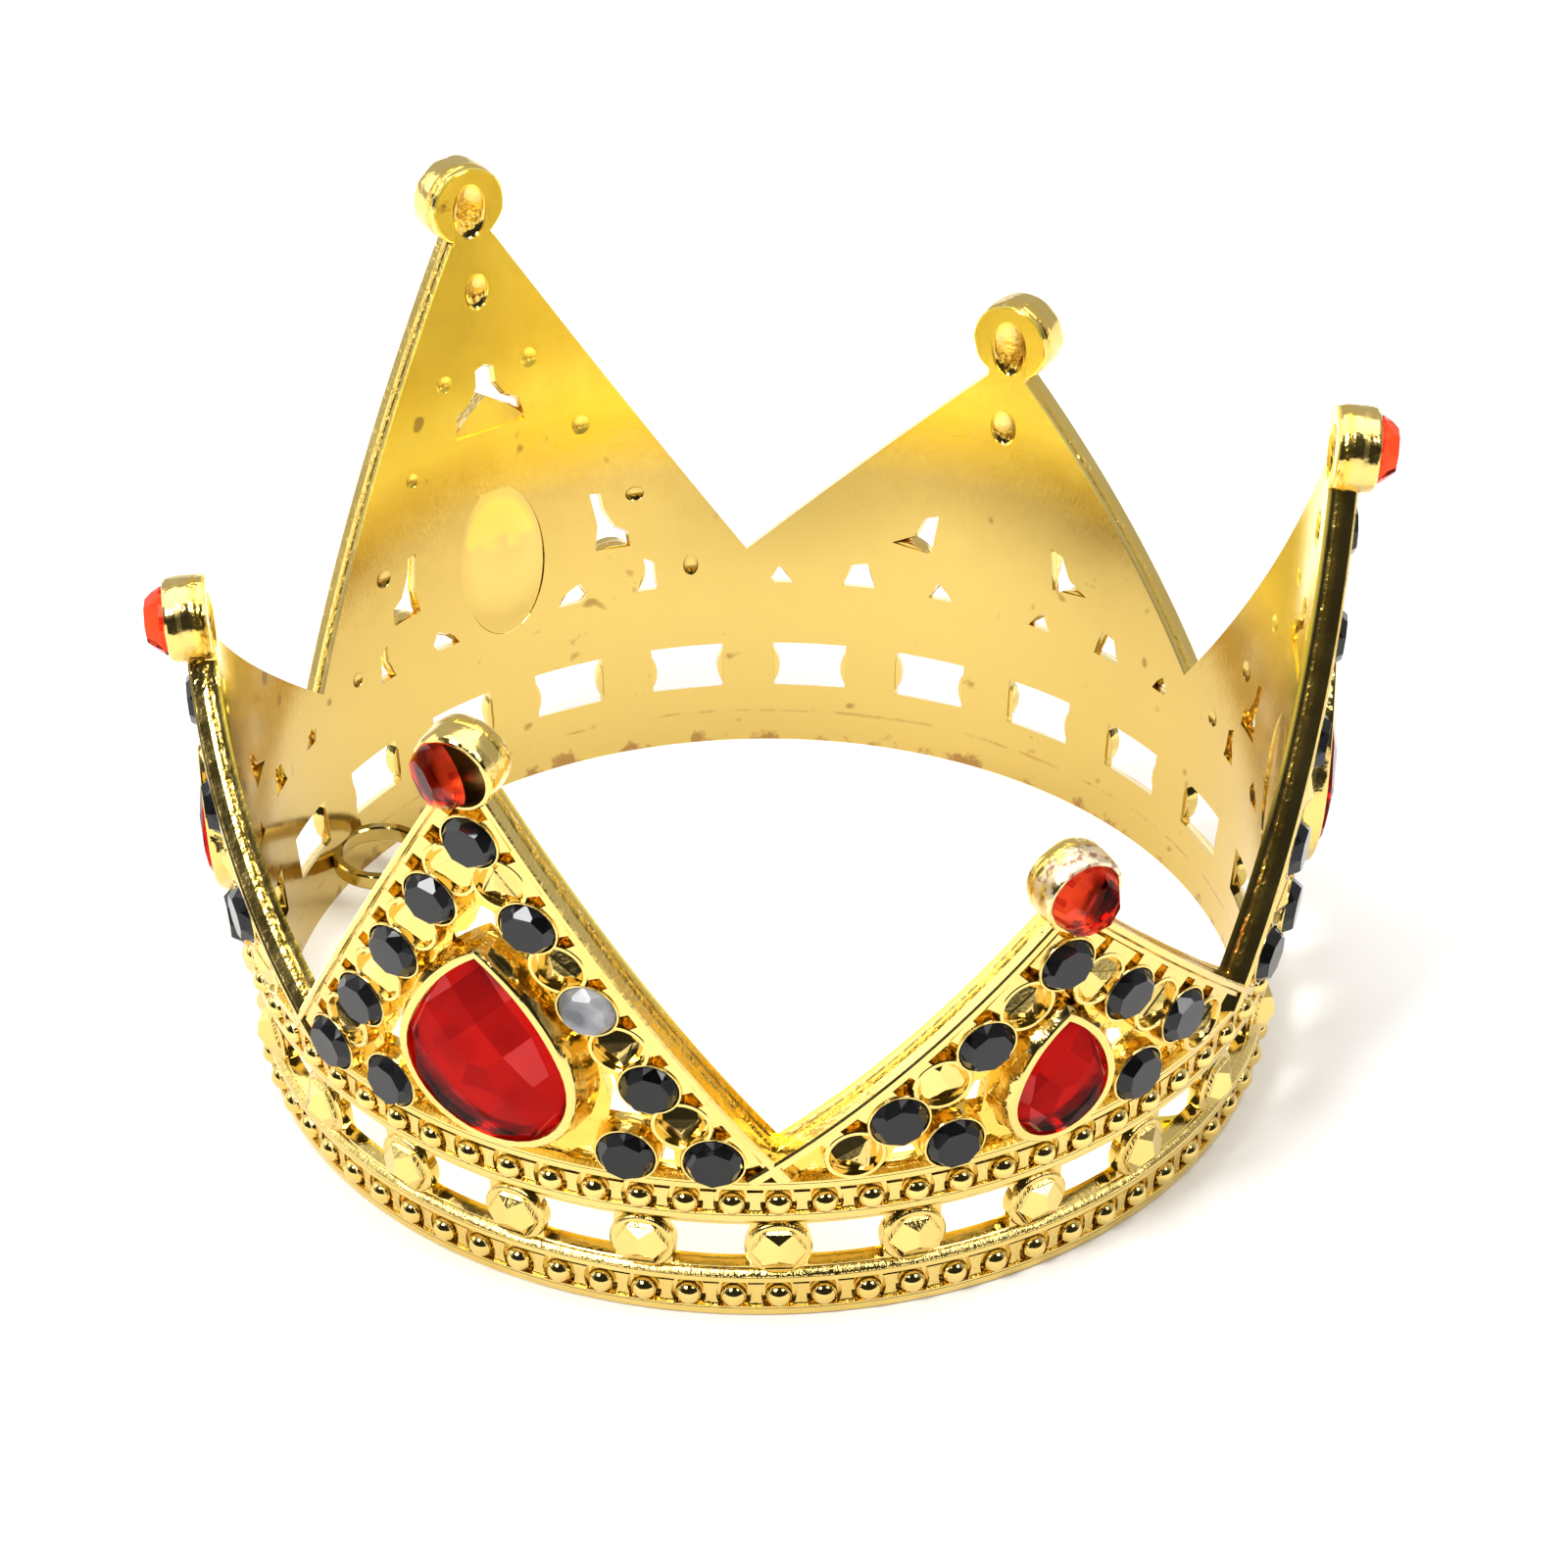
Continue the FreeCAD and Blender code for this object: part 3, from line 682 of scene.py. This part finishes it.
def stone_piece(name, node, works, materials, outward=None):
    """One piece for all the stones of a CAD node, with flat facets and a foil on its back; each facet gets a random
    painted brightness standing in for the light it catches, the steep border facets a brighter one.
    """
    total = joined(works)
    piece = to_object(total, name, materials[0], smooth_angle=0)
    piece.data.materials.append(materials[-1])
    outward = outward or Vector(seat(*solids(node)[0]).col[2][:3])
    for polygon in piece.data.polygons:
        polygon.material_index = int(len(materials) > 1 and polygon.normal.dot(outward) < -0.3)
    # Painted light: a random tone per facet, brighter on the steep border facets, stands in for the reflections each
    # facet catches.
    shade = piece.data.attributes.new("facet", "FLOAT", "FACE")
    draw = random.Random(name)
    facet_light_values = []
    for polygon in piece.data.polygons:
        steep = 0.3 < polygon.normal.dot(outward) < 0.8
        facet_light_values.append(draw.uniform(0.55, 1.0) if steep else draw.random())
    shade.data.foreach_set("value", facet_light_values)
    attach(piece, "root")
    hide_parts(node)
    return piece


def tilted(matrix, draw, lean):
    """Frame of a stone that sits a little askew in its setting."""
    turn = Matrix.Rotation(math.radians(draw.uniform(-lean, lean)), 4, "X")
    side = Matrix.Rotation(math.radians(draw.uniform(-lean, lean)), 4, "Y")
    return matrix @ turn @ side @ Matrix.Rotation(draw.uniform(0, math.pi), 4, "Z")


# The one stone whose backing shows through it: its node and its place from the top.
CLOUDY = ("front_left_tall_right_edge_stones", 1)


def black_stones(point, group, black, cloudy):
    node = point + group
    draw = random.Random(node)
    works = []
    for angle, height in solids(node):
        work = cut_stone(round_planes(2.5, 0.85, 1.75, 36, 8), 8)
        matrix = tilted(seat(angle, height, STONE_SEAT), draw, 2.5)
        bmesh.ops.transform(work, matrix=matrix, verts=work.verts)
        works.append(work)
    piece = stone_piece(node + "_cut", node, works, [black])
    if node == CLOUDY[0]:
        haze(piece, CLOUDY[1], cloudy)


def haze(piece, row, cloudy):
    """Give the stone of that row, counted from the top, its clouded finish."""
    height = sorted((place[1] for place in solids(CLOUDY[0])), reverse=True)[row] / 1000
    piece.data.materials.append(cloudy)
    slot = len(piece.data.materials) - 1
    for polygon in piece.data.polygons:
        if abs(polygon.center.z - height) < 0.0035:
            polygon.material_index = slot


# A finial jewel that has slipped in its cup: side step, lift, sideways lean and upward lean in degrees,
# and how far up its back is ground flat.
SLIPPED = {"front_left_tall": (-0.95, 0.3, -32, 4, 1.2), "front_right_short": (0.0, 0.5, 9, -10, 0.0)}


def finial_jewel(point, red):
    node = point + "_finial_jewel"
    draw = random.Random(node)
    kind, turn = POINTS[point]
    head = NECKS[kind][2]
    untouched = (0.0, 0.05, draw.uniform(-3, 3), draw.uniform(-3, 3), 0.0)
    step, lift, across, along, back = SLIPPED.get(point, untouched)
    pavilion = ring_planes(8, 0.5, -38, edge_reach(2.9, -2.0, -38)) + [((0, 0, -1), -back)]
    work = cut_stone(round_planes(3.0, 2.2, 3.55, 38, 8) + pavilion, 12)
    girdle = Matrix.Translation((0, 0, 2.0))
    lean = Matrix.Rotation(math.radians(across), 4, "Y") @ Matrix.Rotation(math.radians(along), 4, "X")
    shift = Matrix.Translation((step, 0, 0))
    matrix = seat(turn, head, FINIAL_SEAT + lift) @ shift @ girdle @ lean @ girdle.inverted()
    bmesh.ops.transform(work, matrix=matrix, verts=work.verts)
    stone_piece(node + "_cut", node, [work], red, Vector(matrix.col[2][:3]))


def pear_jewel(point, red):
    node = point + "_pear_jewel"
    kind, turn = POINTS[point]
    shape = PEARS[kind]
    rise = 3.0 if kind == "tall" else 2.5
    work = cut_stone(pear_planes(shape, 0.06, 1.35, rise), 60)
    matrix = seat(turn, shape["height"], BEZEL_SEAT + 0.03)
    bmesh.ops.transform(work, matrix=matrix, verts=work.verts)
    stone_piece(node + "_cut", node, [work], red)


# ---------------------------------------------------------------- materials

class Graph:
    """Short calls for building a material's nodes."""

    def __init__(self, name):
        self.material = bpy.data.materials.new(name)
        self.material.use_nodes = True
        self.nodes = self.material.node_tree.nodes
        self.links = self.material.node_tree.links
        self.shader = self.nodes["Principled BSDF"]

    def feed(self, socket, value):
        if isinstance(value, bpy.types.NodeSocket):
            self.links.new(value, socket)
        else:
            socket.default_value = value

    def math(self, kind, first, second=0.0):
        node = self.nodes.new("ShaderNodeMath")
        node.operation = kind
        self.feed(node.inputs[0], first)
        self.feed(node.inputs[1], second)
        return node.outputs[0]

    def remap(self, value, low, high, out_low=0.0, out_high=1.0):
        node = self.nodes.new("ShaderNodeMapRange")
        self.feed(node.inputs["Value"], value)
        for name, number in (("From Min", low), ("From Max", high), ("To Min", out_low), ("To Max", out_high)):
            node.inputs[name].default_value = number
        return node.outputs[0]

    def noise(self, place, scale, detail=2.0, rough=0.5):
        node = self.nodes.new("ShaderNodeTexNoise")
        self.links.new(place, node.inputs["Vector"])
        node.inputs["Scale"].default_value = scale
        node.inputs["Detail"].default_value = detail
        node.inputs["Roughness"].default_value = rough
        return node.outputs["Fac"]

    def within(self, place, matrix):
        """Coordinates in a frame given in millimetres."""
        node = self.nodes.new("ShaderNodeMapping")
        node.vector_type = "TEXTURE"
        node.inputs["Location"].default_value = matrix.translation * 0.001
        node.inputs["Rotation"].default_value = matrix.to_euler()
        split = self.nodes.new("ShaderNodeSeparateXYZ")
        self.links.new(place, node.inputs["Vector"])
        self.links.new(node.outputs[0], split.inputs[0])
        return split.outputs

    def blend(self, share, first, second):
        node = self.nodes.new("ShaderNodeMix")
        node.data_type = "RGBA"
        self.feed(node.inputs[0], share)
        self.feed(node.inputs[6], first)
        self.feed(node.inputs[7], second)
        return node.outputs[2]

    def bump(self, height, distance, strength=1.0, normal=None):
        node = self.nodes.new("ShaderNodeBump")
        self.links.new(height, node.inputs["Height"])
        node.inputs["Distance"].default_value = distance
        node.inputs["Strength"].default_value = strength
        if normal:
            self.links.new(normal, node.inputs["Normal"])
        return node.outputs[0]


def beside_pear(g, radius, around, z):
    """Share of the part of a point that its pear setting takes up."""
    turn = g.math("PINGPONG", around, math.pi / 6)
    half = g.math("ADD", g.math("MULTIPLY", radius, turn), g.math("MULTIPLY", z, 0.3))
    return g.remap(half, 0.0148, 0.0153, 1.0, 0.0)


def oval_reflection_patch(g, place):
    """Upper part of the oval sink behind the tall pear at the back, painted a strong yellow as a reflection of the
    gold across the crown.
    """
    x, y, _ = g.within(place, seat(POINTS["back_left_tall"][1], OVAL_HEIGHT))
    across = g.math("POWER", g.math("DIVIDE", x, OVAL_HALF_WIDTH / 1000), 2)
    along = g.math("POWER", g.math("DIVIDE", y, OVAL_HALF_HEIGHT / 1000), 2)
    inside = g.remap(g.math("ADD", across, along), 0.7, 0.95, 1.0, 0.0)
    edge = g.math("ADD", y, g.math("MULTIPLY", g.noise(place, 450.0, 3.0), 0.006))
    return g.math("MULTIPLY", inside, g.remap(edge, 0.0045, 0.0056, 0.0, 0.4))


def worn_rim(g, place):
    """Share of the finial whose plate has rubbed off round its rim."""
    kind, turn = POINTS["front_right_short"]
    x, y, z = g.within(place, seat(turn, NECKS[kind][2]))
    reach = g.math("SQRT", g.math("ADD", g.math("MULTIPLY", x, x), g.math("MULTIPLY", y, y)))
    near = g.math("MULTIPLY", g.remap(reach, 0.0043, 0.0047, 1.0, 0.0), g.remap(z, 0.0009, 0.0016))
    near = g.math("MULTIPLY", near, g.remap(y, -0.0012, 0.0016))
    return g.math("MULTIPLY", near, g.remap(g.noise(place, 420.0, 4.0, 0.65), 0.38, 0.5))


def slipped_cup_shade(g, place):
    """Painted shade inside the cup whose jewel has slipped, dark brown on its bared wall and floor."""
    kind, turn = POINTS["front_left_tall"]
    x, y, z = g.within(place, seat(turn, NECKS[kind][2]))
    reach = g.math("SQRT", g.math("ADD", g.math("MULTIPLY", x, x), g.math("MULTIPLY", y, y)))
    inside = g.math("MULTIPLY", g.remap(reach, 0.00312, 0.0033, 1.0, 0.0), g.remap(z, 0.0033, 0.0037, 1.0, 0.0))
    return g.math("MULTIPLY", g.math("MULTIPLY", inside, g.remap(z, 0.0014, 0.0017)), 0.9)


def gold_material():
    """Bright gold plate: mirror-like tops, rough deeply sunk recesses, satin inner face with a painted yellow
    reflection of the gold across the crown high up, on its front half and in the oval sink.
    """
    g = Graph("gold_plate_finish")
    place = g.nodes.new("ShaderNodeTexCoord").outputs["Object"]
    split = g.nodes.new("ShaderNodeSeparateXYZ")
    g.links.new(place, split.inputs[0])
    x, y, z = split.outputs
    around = g.math("ARCTAN2", y, x)
    radius = g.math("SQRT", g.math("ADD", g.math("MULTIPLY", x, x), g.math("MULTIPLY", y, y)))
    wall = g.math("ADD", g.math("MULTIPLY", z, FLARE), BASE_RADIUS / 1000)
    offset = g.math("SUBTRACT", radius, wall)
    inner = g.remap(offset, 0.00015, 0.0004, 1.0, 0.0)
    floor_band = g.math("MULTIPLY", g.remap(offset, 0.0005, 0.0009), g.remap(offset, 0.00115, 0.0017, 1.0, 0.0))
    upper = g.remap(z, 0.0156, 0.0163)
    recess = g.math("MULTIPLY", floor_band, upper)
    broad = g.noise(place, 90.0, 3.0)
    fine = g.noise(place, 1500.0, 3.0)
    hammer = g.noise(place, 900.0, 2.0, 0.6)
    streak_place = g.nodes.new("ShaderNodeCombineXYZ")
    g.links.new(g.math("MULTIPLY", around, 6.0), streak_place.inputs[0])
    g.links.new(g.math("MULTIPLY", z, 12.0), streak_place.inputs[1])
    streaks = g.noise(streak_place.outputs[0], 60.0, 2.0)
    colour = g.blend(g.remap(broad, 0.35, 0.65), (0.80, 0.60, 0.20, 1), (0.76, 0.55, 0.16, 1))
    colour = g.blend(recess, colour, (0.84, 0.56, 0.10, 1))
    # Painted reflection: high on the inner face, on its front half and in the oval sink the gold turns a strong
    # yellow, standing in for the gold across the crown mirrored there.
    high = g.remap(g.math("ADD", z, g.math("MULTIPLY", broad, 0.003)), 0.0295, 0.0365)
    gold_reflection = g.math("MAXIMUM", g.math("MAXIMUM", high, g.remap(y, 0.0, -0.02)), oval_reflection_patch(g, place))
    colour = g.blend(inner, colour, g.blend(gold_reflection, (0.575, 0.42, 0.125, 1), (1.0, 0.75, 0.085, 1)))
    blot = g.noise(place, 330.0, 4.0, 0.65)
    edge = g.remap(z, 0.0, 0.0022, 0.19, 0.0)
    stain = g.remap(g.math("ADD", blot, edge), 0.68, 0.76)
    seam = g.math("ABSOLUTE", g.math("SUBTRACT", z, g.math("ADD", g.math("MULTIPLY", broad, 0.0008), 0.0026)))
    flow = g.math("MULTIPLY", g.remap(seam, 0.0, 0.0002, 0.6, 0.0), g.remap(blot, 0.45, 0.6))
    soil = g.math("MULTIPLY", inner, g.math("MAXIMUM", g.math("MULTIPLY", stain, 0.8), flow))
    colour = g.blend(soil, colour, (0.30, 0.15, 0.05, 1))
    specks = g.math("MULTIPLY", inner, g.remap(g.noise(place, 420.0, 1.0), 0.74, 0.80))
    colour = g.blend(g.math("MULTIPLY", specks, 0.7), colour, (0.25, 0.14, 0.04, 1))
    worn, cup_shade = worn_rim(g, place), slipped_cup_shade(g, place)
    speck = g.remap(g.noise(place, 1100.0, 3.0), 0.52, 0.6)
    colour = g.blend(worn, colour, g.blend(speck, (0.76, 0.64, 0.44, 1), (0.36, 0.2, 0.13, 1)))
    # Painted shade: dark brown inside the cup whose jewel has slipped.
    colour = g.blend(cup_shade, colour, (0.28, 0.13, 0.04, 1))
    g.links.new(colour, g.shader.inputs["Base Color"])
    rough = g.remap(g.noise(place, 400.0, 3.0), 0.3, 0.7, 0.05, 0.12)
    rough = g.math("ADD", rough, g.math("MULTIPLY", g.math("MAXIMUM", worn, cup_shade), 0.25))
    facing = g.nodes.new("ShaderNodeVectorMath")
    facing.operation = "DOT_PRODUCT"
    outward = g.nodes.new("ShaderNodeCombineXYZ")
    g.links.new(g.math("DIVIDE", x, radius), outward.inputs[0])
    g.links.new(g.math("DIVIDE", y, radius), outward.inputs[1])
    g.links.new(g.nodes.new("ShaderNodeNewGeometry").outputs["Normal"], facing.inputs[0])
    g.links.new(outward.outputs[0], facing.inputs[1])
    side = g.remap(g.math("ABSOLUTE", facing.outputs["Value"]), 0.35, 0.6, 1.0, 0.0)
    side = g.math("MULTIPLY", g.math("MULTIPLY", side, upper), g.remap(z, 0.0175, 0.019))
    bezel_side = g.math("MULTIPLY", side, beside_pear(g, radius, around, z))
    rough = g.math("ADD", rough, g.math("MULTIPLY", side, 0.07))
    rough = g.math("ADD", rough, g.math("MULTIPLY", recess, 0.06))
    rail_face = g.math("MULTIPLY", g.remap(offset, 0.0023, 0.0024), g.remap(offset, 0.00275, 0.00285, 1.0, 0.0))
    rail_face = g.math("MULTIPLY", rail_face, upper)
    rough = g.math("ADD", rough, g.math("MULTIPLY", rail_face, 0.1))
    rough = g.math("ADD", rough, g.math("MULTIPLY", inner, g.remap(streaks, 0.3, 0.7, 0.02, 0.08)))
    g.links.new(rough, g.shader.inputs["Roughness"])
    battered = g.math("MAXIMUM", recess, g.math("MULTIPLY", side, 0.35))
    battered = g.math("MAXIMUM", battered, g.math("MAXIMUM", bezel_side, g.math("MULTIPLY", rail_face, 0.2)))
    calm = g.remap(inner, 0.0, 1.0, 0.12, 0.02)
    height = g.math("ADD", g.math("MULTIPLY", fine, calm), g.math("MULTIPLY", g.math("MULTIPLY", battered, hammer), 1.6))
    flank = g.math("MULTIPLY", g.remap(offset, 0.0011, 0.0013), g.remap(offset, 0.00172, 0.0018, 1.0, 0.0))
    flank = g.math("MULTIPLY", flank, g.remap(z, 0.0156, 0.016, 1.0, 0.0))
    height = g.math("ADD", height, g.math("MULTIPLY", streaks, g.math("ADD", g.math("MULTIPLY", flank, 0.7), 0.06)))
    g.links.new(g.bump(height, 0.00012), g.shader.inputs["Normal"])
    g.links.new(g.remap(g.math("MULTIPLY", inner, high), 0.0, 1.0, 1.0, 0.6), g.shader.inputs["Metallic"])
    return g.material


def black_material():
    g = Graph("black_acrylic_finish")
    place = g.nodes.new("ShaderNodeTexCoord").outputs["Object"]
    facet_light = g.nodes.new("ShaderNodeAttribute")
    facet_light.attribute_name = "facet"
    # Painted light: each facet's stored tone makes its black a little lighter or darker, as if it caught light.
    colour = g.blend(g.remap(facet_light.outputs["Fac"], 0.55, 1.0), (0.002, 0.002, 0.002, 1), (0.018, 0.018, 0.021, 1))
    g.links.new(colour, g.shader.inputs["Base Color"])
    g.links.new(g.remap(g.noise(place, 700.0), 0.3, 0.7, 0.03, 0.12), g.shader.inputs["Roughness"])
    g.links.new(g.bump(g.noise(place, 250.0, 1.0), 0.00004), g.shader.inputs["Normal"])
    g.shader.inputs["Specular IOR Level"].default_value = 0.35
    return g.material


def cloudy_material():
    g = Graph("clouded_acrylic_finish")
    place = g.nodes.new("ShaderNodeTexCoord").outputs["Object"]
    colour = g.blend(g.remap(g.noise(place, 260.0, 2.0), 0.35, 0.65), (0.10, 0.105, 0.115, 1),
                     (0.42, 0.42, 0.43, 1))
    g.links.new(colour, g.shader.inputs["Base Color"])
    g.links.new(g.remap(g.noise(place, 900.0), 0.3, 0.7, 0.22, 0.34), g.shader.inputs["Roughness"])
    return g.material


def red_material(name, dark, bright):
    g = Graph(name)
    place = g.nodes.new("ShaderNodeTexCoord").outputs["Object"]
    facet_light = g.nodes.new("ShaderNodeAttribute")
    facet_light.attribute_name = "facet"
    # Painted light: each facet's stored tone sets its red from dark to bright, standing in for the reflections inside
    # the stone.
    colour = g.blend(facet_light.outputs["Fac"], dark, bright)
    g.links.new(g.remap(facet_light.outputs["Fac"], 0.84, 0.86, 0.0, 0.45), g.shader.inputs["Coat Weight"])
    g.links.new(colour, g.shader.inputs["Base Color"])
    g.links.new(g.remap(g.noise(place, 500.0), 0.3, 0.7, 0.02, 0.07), g.shader.inputs["Roughness"])
    g.links.new(g.bump(g.noise(place, 220.0, 1.0), 0.00003), g.shader.inputs["Normal"])
    g.shader.inputs["IOR"].default_value = 1.1
    g.shader.inputs["Transmission Weight"].default_value = 1.0
    return g.material


def foil_material():
    g = Graph("stone_foil_finish")
    place = g.nodes.new("ShaderNodeTexCoord").outputs["Object"]
    colour = g.blend(g.noise(place, 300.0), (0.8, 0.8, 0.82, 1), (0.95, 0.95, 0.95, 1))
    g.links.new(colour, g.shader.inputs["Base Color"])
    g.links.new(g.remap(g.noise(place, 800.0), 0.3, 0.7, 0.12, 0.25), g.shader.inputs["Roughness"])
    g.shader.inputs["Metallic"].default_value = 0.55
    return g.material


# ---------------------------------------------------------------- studio

def floor_piece():
    mesh = bpy.data.meshes.new("studio_floor")
    work = bmesh.new()
    bmesh.ops.create_grid(work, x_segments=8, y_segments=8, size=3.0)
    work.to_mesh(mesh)
    work.free()
    thing = bpy.data.objects.new("studio_floor", mesh)
    bpy.context.scene.collection.objects.link(thing)
    g = Graph("studio_floor_finish")
    place = g.nodes.new("ShaderNodeTexCoord").outputs["Object"]
    colour = g.blend(g.noise(place, 3.0), (0.93, 0.93, 0.93, 1), (0.96, 0.96, 0.96, 1))
    g.links.new(colour, g.shader.inputs["Base Color"])
    g.shader.inputs["Roughness"].default_value = 0.6
    mesh.materials.append(g.material)


def softbox(name, place, size, power):
    data = bpy.data.lights.new(name, "AREA")
    data.shape = "RECTANGLE"
    data.size, data.size_y = size
    data.energy = power
    light = bpy.data.objects.new(name, data)
    light.location = place
    light.rotation_euler = (Vector((0, 0, 0.03)) - Vector(place)).to_track_quat("-Z", "Y").to_euler()
    bpy.context.scene.collection.objects.link(light)


def studio():
    floor_piece()
    softbox("key_softbox", (-0.55, -0.55, 0.95), (0.36, 0.36), 11.0)
    softbox("fill_softbox", (0.6, -0.4, 0.8), (0.3, 0.3), 3.0)
    softbox("left_softbox", (-0.93, 0.36, 0.5), (0.7, 0.6), 2.2)
    softbox("top_softbox", (0.0, 0.15, 1.2), (1.6, 1.1), 14.0)
    world = bpy.data.worlds.new("studio_world")
    bpy.context.scene.world = world
    world.use_nodes = True
    nodes, links = world.node_tree.nodes, world.node_tree.links
    direction = nodes.new("ShaderNodeTexCoord").outputs["Generated"]
    split = nodes.new("ShaderNodeSeparateXYZ")
    links.new(direction, split.inputs[0])
    ramp = nodes.new("ShaderNodeMapRange")
    ramp.interpolation_type = "SMOOTHSTEP"
    links.new(split.outputs[1], ramp.inputs["Value"])
    for name, number in (("From Min", -0.4), ("From Max", 0.3), ("To Min", 0.03), ("To Max", 0.6)):
        ramp.inputs[name].default_value = number
    links.new(ramp.outputs[0], nodes["Background"].inputs["Strength"])
    nodes["Background"].inputs["Color"].default_value = (1, 1, 1, 1)
    bpy.context.scene.view_settings.view_transform = "Standard"


def camera():
    data = bpy.data.cameras.new("camera")
    data.lens = 209.36
    data.sensor_width = 36.0
    data.shift_x = 0.0144
    data.shift_y = 0.00125
    thing = bpy.data.objects.new("camera", data)
    right = Vector((0.99951754, -0.0303085, -0.00678847))
    upward = Vector((0.02287858, 0.57063111, 0.82088775))
    away = right.cross(upward)
    thing.matrix_world = Matrix.Translation((-0.0167, -0.65239, 0.47799)) @ Matrix(
        (right, upward, away)).transposed().to_4x4()
    bpy.context.scene.collection.objects.link(thing)
    bpy.context.scene.camera = thing


GOLD = gold_material()
BLACK = black_material()
CLOUDED = cloudy_material()
FOIL = foil_material()
DEEP_RED = [red_material("red_acrylic_finish", (0.17, 0.001, 0.001, 1), (0.68, 0.009, 0.006, 1)), FOIL]
FIERY_RED = [red_material("red_finial_finish", (0.30, 0.004, 0.003, 1), (1.0, 0.08, 0.02, 1)), FOIL]
crown_shell(GOLD)
for point_name in POINTS:
    for group_name in ("_top_stone", "_left_edge_stones", "_right_edge_stones", "_left_base_stone",
                       "_right_base_stone"):
        black_stones(point_name, group_name, BLACK, CLOUDED)
    finial_jewel(point_name, FIERY_RED)
    pear_jewel(point_name, DEEP_RED)
studio()
camera()
